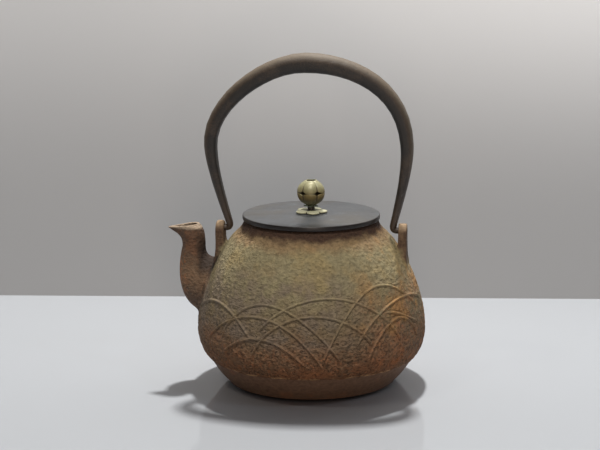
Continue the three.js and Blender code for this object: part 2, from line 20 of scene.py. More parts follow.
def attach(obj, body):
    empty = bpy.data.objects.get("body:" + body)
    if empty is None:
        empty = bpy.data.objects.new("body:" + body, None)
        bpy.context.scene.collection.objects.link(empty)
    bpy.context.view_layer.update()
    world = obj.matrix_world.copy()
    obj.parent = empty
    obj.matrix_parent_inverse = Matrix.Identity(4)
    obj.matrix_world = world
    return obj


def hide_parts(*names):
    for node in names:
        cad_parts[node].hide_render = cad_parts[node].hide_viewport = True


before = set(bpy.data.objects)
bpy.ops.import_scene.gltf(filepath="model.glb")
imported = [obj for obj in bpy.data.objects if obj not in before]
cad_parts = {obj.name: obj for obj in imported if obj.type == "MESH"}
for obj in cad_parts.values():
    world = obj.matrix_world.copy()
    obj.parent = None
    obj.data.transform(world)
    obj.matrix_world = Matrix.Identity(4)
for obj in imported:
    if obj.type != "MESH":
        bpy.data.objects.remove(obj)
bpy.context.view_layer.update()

LOG = logging.getLogger("kettle")
MM = 0.001
Array = np.ndarray
Pair = tuple[float, float]


# Colours and shader sums


@dataclass(frozen=True)
class Colour:
    """A colour as the eye reads it, with channels from 0 to 255."""

    red: float
    green: float
    blue: float

    def linear(self) -> tuple[float, float, float, float]:
        """The colour as light, with an opaque alpha."""
        channels = (self.red / 255, self.green / 255, self.blue / 255)
        light = (c / 12.92 if c <= 0.04045 else ((c + 0.055) / 1.055) ** 2.4 for c in channels)
        return (*light, 1.0)


class Signal:
    """A number that varies over a surface, wrapped so that it can stand in plain sums."""

    def __init__(self, paint: Paint, socket: bpy.types.NodeSocket) -> None:
        """Wraps a socket.

        Args:
            paint: the paint that the socket belongs to.
            socket: the output that carries the number.
        """
        self.paint = paint
        self.socket = socket

    def _sum(self, operation: str, first: object, second: object) -> Signal:
        """Adds one Math node.

        Args:
            operation: the node's operation.
            first: a signal or a number.
            second: a signal or a number.

        Returns:
            The node's result.
        """
        node = self.paint.add("ShaderNodeMath", {"operation": operation}, {0: first, 1: second})
        return Signal(self.paint, node.outputs[0])

    def __add__(self, other: Signal | float) -> Signal:
        """This plus the other."""
        return self._sum("ADD", self, other)

    def __radd__(self, other: float) -> Signal:
        """The number plus this."""
        return self._sum("ADD", other, self)

    def __sub__(self, other: Signal | float) -> Signal:
        """This less the other."""
        return self._sum("SUBTRACT", self, other)

    def __rsub__(self, other: float) -> Signal:
        """The number less this."""
        return self._sum("SUBTRACT", other, self)

    def __mul__(self, other: Signal | float) -> Signal:
        """This times the other."""
        return self._sum("MULTIPLY", self, other)

    def __abs__(self) -> Signal:
        """This without its sign."""
        return self._sum("ABSOLUTE", self, 0.0)

    def at_least(self, other: Signal | float) -> Signal:
        """The greater of this and the other."""
        return self._sum("MAXIMUM", self, other)

    def step(self, low: float, high: float) -> Signal:
        """A smooth step that is 0 below low and 1 above high, or falls where low is the greater."""
        rising = low < high
        node = self.paint.add(
            "ShaderNodeMapRange",
            {"interpolation_type": "SMOOTHSTEP"},
            {
                "Value": self,
                "From Min": min(low, high),
                "From Max": max(low, high),
                "To Min": 0.0 if rising else 1.0,
                "To Max": 1.0 if rising else 0.0,
            },
        )
        return Signal(self.paint, node.outputs["Result"])


class Paint:
    """A material made of nodes, with a Principled shader at its end."""

    def __init__(self, name: str) -> None:
        """Starts an empty material.

        Args:
            name: the material's name.
        """
        self.material = bpy.data.materials.new(name)
        self.material.use_nodes = True
        self.tree = self.material.node_tree
        self.tree.nodes.clear()
        self.shader = self.add("ShaderNodeBsdfPrincipled")
        self.output = self.add("ShaderNodeOutputMaterial", None, {"Surface": self.shader.outputs[0]})

    def add(
        self,
        kind: str,
        settings: Mapping[str, object] | None = None,
        sockets: Mapping[str | int, object] | None = None,
    ) -> bpy.types.Node:
        """Adds a node.

        Args:
            kind: the node's type.
            settings: its own settings, set first.
            sockets: values, signals or sockets for its inputs.

        Returns:
            The node.
        """
        node = self.tree.nodes.new(kind)
        for name, value in (settings or {}).items():
            setattr(node, name, value)
        for name, value in (sockets or {}).items():
            self.feed(node.inputs[name], value)
        return node

    def feed(self, socket: bpy.types.NodeSocket, value: object) -> None:
        """Links or sets one input.

        Args:
            socket: the input.
            value: a signal or socket to link, a colour, or a plain value.
        """
        if isinstance(value, Signal):
            self.tree.links.new(value.socket, socket)
        elif isinstance(value, bpy.types.NodeSocket):
            self.tree.links.new(value, socket)
        elif isinstance(value, Colour):
            socket.default_value = value.linear()
        else:
            socket.default_value = value

    def place(self, stretch: Sequence[float] = (1.0, 1.0, 1.0)) -> bpy.types.NodeSocket:
        """Object coordinates in millimetres, times a stretch along each axis."""
        coordinates = self.add("ShaderNodeTexCoord").outputs["Object"]
        factors = tuple(s / MM for s in stretch)
        node = self.add("ShaderNodeVectorMath", {"operation": "MULTIPLY"}, {0: coordinates, 1: factors})
        return node.outputs["Vector"]

    def axes(self) -> tuple[Signal, Signal, Signal]:
        """The place on the object, in millimetres along X, Y and Z."""
        node = self.add("ShaderNodeSeparateXYZ", None, {0: self.place()})
        return tuple(Signal(self, node.outputs[i]) for i in range(3))

    def noise(
        self,
        per_mm: float,
        detail: float = 2.0,
        roughness: float = 0.5,
        stretch: Sequence[float] = (1.0, 1.0, 1.0),
        bend: float = 0.0,
        shift: float = 0.0,
    ) -> Signal:
        """Cloudy noise around 0.5.

        Args:
            per_mm: how many clouds there are to a millimetre.
            detail: octaves.
            roughness: how strong the finer octaves are.
            stretch: factors on the three axes.
            bend: distortion.
            shift: a fourth coordinate, which picks another pattern.

        Returns:
            The noise.
        """
        node = self.add(
            "ShaderNodeTexNoise",
            {"noise_dimensions": "4D"},
            {
                "Vector": self.place(stretch),
                "W": shift,
                "Scale": per_mm,
                "Detail": detail,
                "Roughness": roughness,
                "Distortion": bend,
            },
        )
        return Signal(self, node.outputs[0])

    def patches(
        self,
        per_mm: float,
        low: float,
        high: float,
        shift: float,
        detail: float = 4.0,
        roughness: float = 0.65,
    ) -> Signal:
        """Scattered patches: 0 where the noise is below low and 1 where it is above high.

        Args:
            per_mm: how many clouds the noise has to a millimetre.
            low: the noise at a patch's edge.
            high: the noise at its full strength.
            shift: picks the pattern.
            detail: octaves.
            roughness: how strong the finer octaves are.

        Returns:
            The patches.
        """
        return self.noise(per_mm, detail, roughness, shift=shift).step(low, high)

    def attribute(self, name: str) -> Signal:
        """A number stored on the piece's vertices."""
        return Signal(self, self.add("ShaderNodeAttribute", {"attribute_name": name}).outputs["Fac"])

    def blend(self, under: object, over: object, mask: object) -> bpy.types.NodeSocket:
        """Lays one colour over another.

        Args:
            under: the colour below.
            over: the colour on top.
            mask: how much of the top colour shows, from 0 to 1.

        Returns:
            The mixed colour.
        """
        node = self.add("ShaderNodeMix", {"data_type": "RGBA"}, {0: mask, 6: under, 7: over})
        return node.outputs[2]

    def shade(self, colour: object, factor: Signal) -> bpy.types.NodeSocket:
        """A colour made darker or lighter by a factor."""
        grey = self.add("ShaderNodeCombineXYZ", None, {0: factor, 1: factor, 2: factor}).outputs[0]
        node = self.add("ShaderNodeVectorMath", {"operation": "MULTIPLY"}, {0: colour, 1: grey})
        return node.outputs["Vector"]

    def relief(self, height: Signal, depth: float) -> bpy.types.NodeSocket:
        """A normal bent by a height from 0 to 1.

        Args:
            height: the height.
            depth: what a height of 1 measures.

        Returns:
            The normal.
        """
        node = self.add("ShaderNodeBump", None, {"Strength": 1.0, "Distance": depth, "Height": height})
        return node.outputs["Normal"]

    def show_front_only(self) -> None:
        """Makes the surface clear where it is seen from behind."""
        behind = self.add("ShaderNodeNewGeometry").outputs["Backfacing"]
        clear = self.add("ShaderNodeBsdfTransparent").outputs[0]
        mixed = self.add("ShaderNodeMixShader", None, {0: behind, 1: self.shader.outputs[0], 2: clear})
        self.feed(self.output.inputs["Surface"], mixed.outputs[0])

    def finish(self, **sockets: object) -> bpy.types.Material:
        """Sets the shader's inputs.

        Args:
            **sockets: values or links, named as the inputs are, with _ for a space.

        Returns:
            The material.
        """
        for name, value in sockets.items():
            self.feed(self.shader.inputs[name.replace("_", " ")], value)
        return self.material


# Surfaces worked out on grids


def smooth(low: float, high: float, value: Array | float) -> Array:
    """A smooth step: 0 below low, 1 above high, and 3t^2 - 2t^3 of the way between."""
    t = np.clip((np.asarray(value, float) - low) / (high - low), 0.0, 1.0)
    return t * t * (3.0 - 2.0 * t)


def curve(points: Sequence[Sequence[float]], t: Array) -> Array:
    """A cubic Bezier curve: the four points weighted by (1-t)^3, 3(1-t)^2 t, 3(1-t) t^2 and t^3.

    Args:
        points: four points of any dimension.
        t: places along the curve, from 0 to 1.

    Returns:
        One point for each t.
    """
    p = np.asarray(points, float)
    t = np.asarray(t, float)[..., None]
    return (1 - t) ** 3 * p[0] + 3 * (1 - t) ** 2 * t * p[1] + 3 * (1 - t) * t**2 * p[2] + t**3 * p[3]


def length_along(points: Array) -> Array:
    """The length from the first point of a polyline to each of its points."""
    steps = np.linalg.norm(np.diff(points, axis=0), axis=1)
    return np.concatenate([[0.0], np.cumsum(steps)])


def even(points: Array, count: int) -> Array:
    """Points of a polyline at even steps of its length."""
    along = length_along(points)
    wanted = np.linspace(0.0, along[-1], count)
    return np.stack([np.interp(wanted, along, points[:, k]) for k in range(points.shape[1])], axis=1)


def turned(profile: Array, azimuth: Array) -> Array:
    """Carries (radius, height) points round the Z axis.

    Args:
        profile: the points.
        azimuth: the angles in radians.

    Returns:
        One row for each point and one column for each angle.
    """
    radius, height = profile[:, :1], profile[:, 1:]
    x, y = radius * np.cos(azimuth)[None, :], radius * np.sin(azimuth)[None, :]
    return np.stack([x, y, np.repeat(height, len(azimuth), axis=1)], axis=-1)


def cloud(places: Array, seed: int) -> Array:
    """Smooth noise from -1 to 1: random values on a unit lattice, blended by 3t^2 - 2t^3 along each axis.

    Args:
        places: points in units of the lattice, with the three coordinates last.
        seed: picks the pattern.

    Returns:
        One value for each point.
    """
    cell = np.floor(places).astype(np.int64)
    t = places - cell
    t = t * t * (3 - 2 * t)
    total = np.zeros(places.shape[:-1])
    for corner in np.ndindex(2, 2, 2):
        at = cell + np.array(corner)
        mixed = at[..., 0] * 374761393 + at[..., 1] * 668265263 + at[..., 2] * 2147483647 + seed * 144665
        mixed = (mixed ^ (mixed >> 13)) * 1274126177
        value = ((mixed ^ (mixed >> 16)) & 0xFFFF) / 32767.5 - 1.0
        weight = np.prod(np.where(np.array(corner) == 1, t, 1 - t), axis=-1)
        total += value * weight
    return total


def add_mesh(
    name: str,
    vertices: Array,
    faces: Sequence[Sequence[int]],
    marks: Mapping[str, Array] | None = None,
) -> bpy.types.Object:
    """Adds an object with a smooth mesh to the scene.

    Args:
        name: the object's name.
        vertices: its points.
        faces: the numbers of each face's points.
        marks: one number for each point, stored under these names for the material.

    Returns:
        The object.
    """
    mesh = bpy.data.meshes.new(name)
    mesh.from_pydata(vertices.tolist(), [], faces)
    for key, values in (marks or {}).items():
        stored = mesh.attributes.new(key, "FLOAT", "POINT")
        stored.data.foreach_set("value", values.astype(np.float32))
    mesh.shade_smooth()
    piece = bpy.data.objects.new(name, mesh)
    bpy.context.scene.collection.objects.link(piece)
    return piece


def quads_between(number: Array) -> Array:
    """The quads between the numbered points of a grid."""
    corners = (number[:-1, :-1], number[:-1, 1:], number[1:, 1:], number[1:, :-1])
    return np.stack([c.ravel() for c in corners], axis=1)


def make_piece(
    name: str,
    points: Array,
    *,
    tube: bool = False,
    poles: bool = False,
    marks: Mapping[str, Array] | None = None,
) -> bpy.types.Object:
    """Makes a smooth mesh from a grid of points whose rows close on themselves.

    Args:
        name: the piece's name.
        points: rows of points, as an array of rows, columns and coordinates.
        tube: whether the last row joins the first.
        poles: whether the first and last rows are closed by a point at their middle.
        marks: numbers for each point, stored under these names for the material.

    Returns:
        The object, with its faces pointing outwards.
    """
    rows, columns = points.shape[:2]
    vertices = points.reshape(-1, 3)
    number = np.arange(rows * columns).reshape(rows, columns)
    number = np.concatenate([number, number[:, :1]], axis=1)
    if tube:
        number = np.concatenate([number, number[:1]], axis=0)
    quads = quads_between(number)
    triangles = np.empty((0, 3), int)
    if poles:
        ends = np.array([points[0].mean(axis=0), points[-1].mean(axis=0)])
        vertices = np.concatenate([vertices, ends])
        first = np.full(columns, rows * columns)
        bottom = np.stack([first, number[0, 1:], number[0, :-1]], axis=1)
        top = np.stack([first + 1, number[-1, :-1], number[-1, 1:]], axis=1)
        triangles = np.concatenate([bottom, top])
    a, b, c, d = (vertices[quads[:, k]] for k in range(4))
    volume = np.einsum("ij,ij->", a, np.cross(b, c)) + np.einsum("ij,ij->", a, np.cross(c, d))
    if volume < 0:
        quads, triangles = quads[:, ::-1], triangles[:, ::-1]
    stored = {}
    for key, values in (marks or {}).items():
        stored[key] = np.zeros(len(vertices))
        stored[key][: rows * columns] = np.broadcast_to(values, (rows, columns)).ravel()
    return add_mesh(name, vertices, quads.tolist() + triangles.tolist(), stored)


def make_strips(name: str, grids: Sequence[Array], crown: Array) -> bpy.types.Object:
    """Makes one smooth mesh of several open grids, with the faces turned away from the Z axis.

    Args:
        name: the piece's name.
        grids: grids of points, each as rows, columns and coordinates.
        crown: a number for each column, stored for the material.

    Returns:
        The object.
    """
    quads, start = [], 0
    for grid in grids:
        rows, columns = grid.shape[:2]
        face = quads_between(start + np.arange(rows * columns).reshape(rows, columns))
        middle = grid[rows // 2, columns // 2]
        along = grid[rows // 2 + 1, columns // 2] - middle
        across = grid[rows // 2, columns // 2 + 1] - middle
        quads.append(face if np.cross(across, along)[:2] @ middle[:2] > 0 else face[:, ::-1])
        start += rows * columns
    vertices = np.concatenate([grid.reshape(-1, 3) for grid in grids])
    marks = {"crown": np.tile(crown, len(vertices) // len(crown))}
    return add_mesh(name, vertices, np.concatenate(quads).tolist(), marks)


class Slot(Enum):
    """Names of the material slots."""

    CAST_IRON = "cast_iron"
    FORGED_IRON = "forged_iron"
    BRONZE = "bronze"
    PALE_BRASS = "pale_brass"


def dress(
    piece: bpy.types.Object,
    body: str,
    material: bpy.types.Material,
    replaces: Sequence[str],
) -> None:
    """Gives a piece its finish and the body that it rides on.

    Args:
        piece: the piece.
        body: the CAD body that carries it.
        material: its finish.
        replaces: the CAD nodes that it stands for.
    """
    piece.data.materials.append(material)
    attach(piece, body)
    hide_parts(*replaces)
    faces = sum(len(p.vertices) - 2 for p in piece.data.polygons)
    LOG.info("%s rides on %s with %d triangles", piece.name, body, faces)


def dress_casting(piece: bpy.types.Object, material: bpy.types.Material) -> None:
    """Dresses a piece of the casting, which rides on the kettle and stands for part of its body."""
    dress(piece, "kettle", material, ["kettle_body"])


# Finishes


class Zone(Enum):
    """The parts of the casting that are dressed differently."""

    SHELL = "shell"
    SPOUT = "spout"
    EAR = "ear"


class SkinPaint(Paint):
    """The paint of the cast skin, with the places and patterns that its colours share."""

    def __init__(self, name: str) -> None:
        """Starts the material.

        Args:
            name: the material's name.
        """
        super().__init__(name)
        self.x, self.y, self.z = self.axes()
        self.grain = self.noise(1.6, 2.0, 0.6)
        self.blotch = self.noise(0.06, 4.0, 0.62, shift=2.0)
        self.fleck = self.patches(0.42, 0.54, 0.66, 10.0, 2.0, 0.6)
        self.orange_patch = self.patches(0.09, 0.5, 0.66, 9.0)


@dataclass(frozen=True)
class CastIronFinish:
    """The sand-cast skin under its old lacquer: olive above, rusty below, smooth and dark on the band.

    A zone is a pair of heights, a side a pair of places along X, both in millimetres: the colour or
    quality grows from the first to the second.
    """

    name: str = "cast_iron_skin"
    zone: Zone = Zone.SHELL
    wrinkle_depth: float = 2.6 * MM
    wrinkle_share: float = 1.0
    # ridge: how far the relief's crown mark paints its blades lighter in the middle and darker at the edges,
    # as highlight and shade.
    ridge: float = 0.0
    olive: Colour = Colour(129, 119, 90)
    tan: Colour = Colour(142, 122, 80)
    grey: Colour = Colour(110, 97, 84)
    umber: Colour = Colour(104, 83, 62)
    rust: Colour = Colour(148, 96, 62)
    orange: Colour = Colour(166, 98, 48)
    amber: Colour = Colour(152, 112, 62)
    band: Colour = Colour(118, 91, 72)
    # neck: a dark red-brown, darkened further as painted shade, for the strip under the lid's edge.
    neck: Colour = Colour(54, 34, 23)
    under_neck: Colour = Colour(120, 88, 58)
    painted_crotch_shade: Colour = Colour(40, 30, 24)
    spout: Colour = Colour(108, 86, 66)
    spout_neck: Colour = Colour(82, 63, 49)
    root: Colour = Colour(74, 62, 56)
    rim_rub_and_highlight: Colour = Colour(168, 150, 130)
    ear: Colour = Colour(76, 56, 42)
    ear_top: Colour = Colour(150, 128, 102)
    olive_zone: Pair = (40.0, 96.0)
    tan_zone: Pair = (66.0, 92.0)
    grey_foot_zone: Pair = (36.0, 52.0)
    grey_top_zone: Pair = (104.0, 80.0)
    grey_side: Pair = (60.0, 10.0)
    rust_zone: Pair = (56.0, 24.0)
    rust_side: Pair = (25.0, 80.0)
    rust_side_zone: Pair = (96.0, 66.0)
    seam_rust_zone: Pair = (30.0, 22.0)
    amber_side: Pair = (20.0, 62.0)
    amber_zone: Pair = (36.0, 60.0)
    under_neck_zone: Pair = (104.0, 111.0)
    lid_shade_zone: Pair = (110.5, 116.5)
    band_zone: Pair = (20.8, 20.2)
    pitted_zone: Pair = (78.0, 40.0)
    soft_zone: Pair = (56.0, 100.0)
    soft_side: Pair = (20.0, 60.0)
    spout_side: Pair = (-58.0, -64.0)
    spout_root_height: float = 68.0
    spout_neck_zone: Pair = (80.0, 100.0)
    spout_root_zone: Pair = (76.0, 60.0)
    outer_side: Pair = (-88.0, -97.0)
    outer_foot_zone: Pair = (60.0, 72.0)
    outer_top_zone: Pair = (100.0, 88.0)
    crotch_side: Pair = (-86.0, -79.0)
    crotch_foot_zone: Pair = (76.0, 86.0)
    crotch_top_zone: Pair = (112.0, 96.0)
    rim_zone: Pair = (111.4, 113.2)
    ear_top_zone: Pair = (112.0, 117.0)

    def body_colour(self, paint: SkinPaint) -> bpy.types.NodeSocket:
        """The shell's colour: olive and tan above, grey in the middle, rust below and to the right, and a
        dark red-brown strip of painted shade under the lid.

        Args:
            paint: the skin's paint.

        Returns:
            The colour.
        """
        x, z = paint.x, paint.z
        level = z + (paint.noise(0.035, 3.0, 0.6, shift=1.0) - 0.5) * 46.0
        colour = paint.blend(self.umber, self.olive, level.step(*self.olive_zone))
        tan_patch = paint.patches(0.045, 0.46, 0.64, 5.0, 3.0, 0.6)
        colour = paint.blend(colour, self.tan, tan_patch * level.step(*self.tan_zone) * 0.5)
        middle = z.step(*self.grey_foot_zone) * z.step(*self.grey_top_zone) * x.step(*self.grey_side)
        colour = paint.blend(colour, self.grey, paint.blotch.step(0.40, 0.60) * middle * 0.75)

        rust_patch = paint.patches(0.05, 0.42, 0.62, 7.0)
        low = level.step(*self.rust_zone)
        right = x.step(*self.rust_side) * z.step(*self.rust_side_zone)
        rusted = (low * (0.3 + rust_patch * 0.7)).at_least(right * rust_patch * 0.7)
        colour = paint.blend(colour, self.rust, rusted * 0.75)
        colour = paint.blend(colour, self.rust, paint.fleck * low.at_least(right * 0.7) * 0.75)
        by_seam = z.step(*self.seam_rust_zone) * 0.5
        colour = paint.blend(colour, self.orange, paint.orange_patch * by_seam.at_least(right * low * 0.6))
        amber_patch = paint.patches(0.05, 0.46, 0.6, 17.0, 3.0, 0.6)
        ambered = amber_patch * x.step(*self.amber_side) * z.step(*self.amber_zone)
        colour = paint.blend(colour, self.amber, ambered * 0.55)

        rise = z + (paint.blotch - 0.5) * 16.0
        colour = paint.blend(colour, self.under_neck, rise.step(*self.under_neck_zone) * 0.55)
        # Painted shade: the strip right under the lid, which the lid's edge shades, is darkened.
        return paint.blend(colour, self.neck, rise.step(*self.lid_shade_zone) * 0.95)

    def spout_colour(self, paint: SkinPaint) -> bpy.types.NodeSocket:
        """The spout's colour: brown, orange on its outer side, darkened in its crotch as painted shade, and
        paler at its rim, partly rubbed and partly painted highlight.

        Args:
            paint: the skin's paint.

        Returns:
            The colour.
        """
        x, z = paint.x, paint.z
        colour = paint.blend(self.spout, self.spout_neck, z.step(*self.spout_neck_zone))
        colour = paint.blend(colour, self.rust, paint.patches(0.07, 0.5, 0.66, 11.0, 3.0, 0.6) * 0.25)
        outer = x.step(*self.outer_side) * z.step(*self.outer_foot_zone) * z.step(*self.outer_top_zone)
        orange = paint.fleck.at_least(paint.orange_patch) * (outer * 0.55 + 0.08)
        colour = paint.blend(colour, self.orange, orange)
        crotch = x.step(*self.crotch_side) * z.step(*self.crotch_foot_zone) * z.step(*self.crotch_top_zone)
        # Painted shade: the crotch between the spout and the ear is darkened.
        colour = paint.blend(colour, self.painted_crotch_shade, crotch * 0.9)
        colour = paint.blend(colour, self.root, z.step(*self.spout_root_zone) * 0.6)
        # The rim is paler: partly rubbed iron, partly painted highlight where light falls on the lip.
        return paint.blend(colour, self.rim_rub_and_highlight, z.step(*self.rim_zone) * (0.3 + paint.grain))

    def on_spout(self, paint: SkinPaint) -> Signal | float:
        """How much of the spout's colour shows: all on the spout, and an oval round its root elsewhere.

        Args:
            paint: the skin's paint.

        Returns:
            The share, from 0 to 1.
        """
        if self.zone is Zone.SPOUT:
            return 1.0
        above_root = paint.z - self.spout_root_height
        oval = paint.y * paint.y * 0.0021 + above_root * above_root * 0.0011
        return paint.x.step(*self.spout_side) * oval.step(1.25, 0.75)

    def ear_colour(self, paint: SkinPaint) -> bpy.types.NodeSocket:
        """The ear's colour: dark brown with upright streaks, paler on its top.

        Args:
            paint: the skin's paint.

        Returns:
            The colour.
        """
        streaks = paint.noise(0.3, 3.0, 0.6, (1.0, 1.0, 0.35), shift=15.0).step(0.4, 0.66)
        colour = paint.blend(self.ear, self.umber, streaks * 0.7)
        return paint.blend(colour, self.ear_top, paint.z.step(*self.ear_top_zone) * 0.8)

    def material(self) -> bpy.types.Material:
        """Makes the material.

        The hollows between the wrinkles are painted darker than their backs, as shade, and the small pits
        darker too.
        On the ears it reads the piece's beyond mark, and on the relief its crown mark for painted highlight
        and shade.

        Returns:
            The material.
        """
        paint = SkinPaint(self.name)
        x, z, grain = paint.x, paint.z, paint.grain
        wrinkles = paint.noise(0.33, 1.6, 0.55, (1.0, 1.0, 1.4), bend=0.3)
        creases = 1.0 - abs(paint.noise(0.17, 2.0, 0.6, (1.0, 1.0, 1.7), shift=3.0) - 0.5) * 4.0
        pits = paint.noise(0.55, 1.0, 0.5, (1.0, 1.0, 1.2), shift=6.0).step(0.5, 0.36)
        smooth_band = z.step(*self.band_zone)

        colour = paint.blend(self.body_colour(paint), self.spout_colour(paint), self.on_spout(paint))
        if self.zone is Zone.EAR:
            colour = paint.blend(colour, self.ear_colour(paint), paint.attribute("beyond"))
        band_rust = paint.patches(0.05, 0.55, 0.7, 13.0, 3.0, 0.6)
        colour = paint.blend(colour, paint.blend(self.band, self.rust, band_rust * 0.35), smooth_band)

        pitted = pits * (1.0 - smooth_band) * (0.14 + z.step(*self.pitted_zone) * 0.3)
        # The wrinkles' hollows are painted darker and their backs lighter, as shade and highlight; the pits
        # are darker too.
        tone_with_painted_shade = (0.46 + wrinkles * 1.14 + (grain - 0.5) * 0.3) * (1.0 - pitted)
        # On the relief the crown mark paints each blade lighter along its middle and darker at its edges, as
        # highlight and shade.
        if self.ridge:
            tone_with_painted_shade = tone_with_painted_shade * (1.0 - self.ridge + paint.attribute("crown") * self.ridge * 1.45)
        softer = z.step(*self.soft_zone) * (0.35 + x.step(*self.soft_side) * 0.3)
        height = (wrinkles * 0.85 + creases * 0.1 + grain * 0.12 - pits * 0.12) * self.wrinkle_share
        height = height * (1.0 - smooth_band * 0.86) * (1.0 - softer)
        return paint.finish(
            Base_Color=paint.shade(colour, tone_with_painted_shade),
            Roughness=0.86 - smooth_band * 0.2 - (grain - 0.5) * 0.2,
            Normal=paint.relief(height, self.wrinkle_depth),
            Specular_IOR_Level=0.35,
        )


@dataclass(frozen=True)
class FlashFinish:
    """The ragged seam of the casting, rubbed bright and rusted orange."""

    rust: Colour = Colour(112, 76, 50)
    pale: Colour = Colour(176, 136, 96)

    def material(self) -> bpy.types.Material:
        """Makes the material."""
        paint = Paint("casting_flash")
        patch = paint.patches(0.11, 0.46, 0.6, 0.0, roughness=0.7)
        grain = paint.noise(1.2, 2.0)
        return paint.finish(
            Base_Color=paint.shade(paint.blend(self.rust, self.pale, patch), 0.7 + grain * 0.6),
            Roughness=0.75 + grain * 0.2,
            Normal=paint.relief(grain, 0.3 * MM),
        )


@dataclass(frozen=True)
class ChamberFinish:
    """The inside of the kettle, grey-black with rust, and with lime up to a height in millimetres."""

    dark: Colour = Colour(62, 56, 52)
    rust: Colour = Colour(118, 72, 44)
    lime: Colour = Colour(150, 144, 132)
    lime_zone: Pair = (70.0, 30.0)

    def material(self) -> bpy.types.Material:
        """Makes the material."""
        paint = Paint("chamber_skin")
        _, _, z = paint.axes()
        grain = paint.noise(0.5, 4.0, 0.6)
        colour = paint.blend(self.dark, self.rust, paint.patches(0.06, 0.45, 0.62, 2.0))
        limed = paint.patches(0.1, 0.52, 0.66, 4.0) * z.step(*self.lime_zone)
        colour = paint.blend(colour, self.lime, limed)
        return paint.finish(Base_Color=colour, Roughness=0.8, Normal=paint.relief(grain, 0.5 * MM))


@dataclass(frozen=True)
class ForgedFinish:
    """The bail: hammered iron with burnt-on lacquer, browner and paler along its crown, partly rubbed and
    partly painted highlight, and rusty at its ends.
    """

    lacquer: Colour = Colour(28, 24, 21)
    crown_rub_and_highlight: Colour = Colour(102, 90, 75)
    brown: Colour = Colour(68, 54, 42)

    def material(self) -> bpy.types.Material:
        """Makes the material, which reads the piece's crown mark, where it paints rubbing and highlight."""
        paint = Paint("forged_iron")
        _, _, z = paint.axes()
        crown = paint.attribute("crown")
        drift = paint.noise(0.05, 4.0, 0.6)
        hammer = paint.noise(0.16, 1.0, 0.4, shift=2.0)
        grain = paint.noise(0.9, 4.0, 0.65)
        rub_and_highlight = (crown + (drift - 0.5) * 0.4 + (grain - 0.5) * 0.3).step(0.15, 0.95)
        colour = paint.blend(self.lacquer, self.brown, (drift * 0.8 + grain * 0.4).step(0.55, 0.78) * 0.6)
        colour = paint.blend(colour, self.brown, z.step(150.0, 118.0) * 0.7)
        # Along the crown, the upper side of the section, the bail is painted browner and paler: partly rubbed
        # lacquer, partly painted highlight where overhead light falls.
        colour = paint.blend(colour, self.brown, (crown + (grain - 0.5) * 0.4).step(0.0, 0.4) * 0.6)
        colour = paint.blend(colour, self.crown_rub_and_highlight, rub_and_highlight * 0.9)
        return paint.finish(
            Base_Color=paint.shade(colour, 0.62 + grain * 0.76),
            Roughness=0.5 + rub_and_highlight * 0.14 + (grain - 0.5) * 0.3,
            Normal=paint.relief(hammer * 0.8 + grain * 0.4, 0.6 * MM),
            Specular_IOR_Level=0.5,
        )


@dataclass(frozen=True)
class BronzeFinish:
    """The lid: bronze under a blue-grey patina, with its edge's side and underside painted dark as shade."""

    name: str = "bronze_patina"
    patina: Colour = Colour(79, 82, 86)
    warm: Colour = Colour(85, 83, 80)
    # dark: the patina's dark streaks and specks, and the painted shade on the edge.
    dark: Colour = Colour(27, 19, 15)
    pale: Colour = Colour(128, 134, 138)
    edge_height: float = 0.0
    edge_radius: float = 0.0

    def material(self) -> bpy.types.Material:
        """Makes the material, whose painted shade lies outside and under the edge.

        Returns:
            The material.
        """
        paint = Paint(self.name)
        x, y, z = paint.axes()
        drift = paint.noise(0.028, 4.0, 0.6)
        speck = paint.noise(0.35, 4.0, 0.7, shift=3.0)
        colour = paint.blend(self.patina, self.warm, drift.step(0.42, 0.62))
        streaks = paint.noise(0.08, 4.0, 0.65, (0.3, 1.0, 1.0), shift=5.0)
        colour = paint.blend(colour, self.dark, streaks.step(0.48, 0.68) * 0.3 + speck.step(0.56, 0.7) * 0.2)
        colour = paint.blend(colour, self.pale, paint.patches(0.11, 0.56, 0.7, 6.0, roughness=0.7) * 0.35)
        # Painted shade: the lid's side and the underside of its edge are darkened.
        if self.edge_radius:
            squared = x * x + y * y
            reach = self.edge_radius / MM
            outside = squared.step((reach - 1.0) ** 2, (reach - 0.2) ** 2)
            under = z.step(self.edge_height / MM, self.edge_height / MM - 0.5)
            colour = paint.blend(colour, self.dark, outside.at_least(under) * 0.92)
        return paint.finish(
            Base_Color=paint.shade(colour, 0.9 + (speck - 0.5) * 0.35),
            Roughness=0.36 + (drift - 0.5) * 0.25 + (speck - 0.5) * 0.12,
            Metallic=0.25,
            Normal=paint.relief(drift * 0.6 + speck * 0.15, 0.25 * MM),
        )


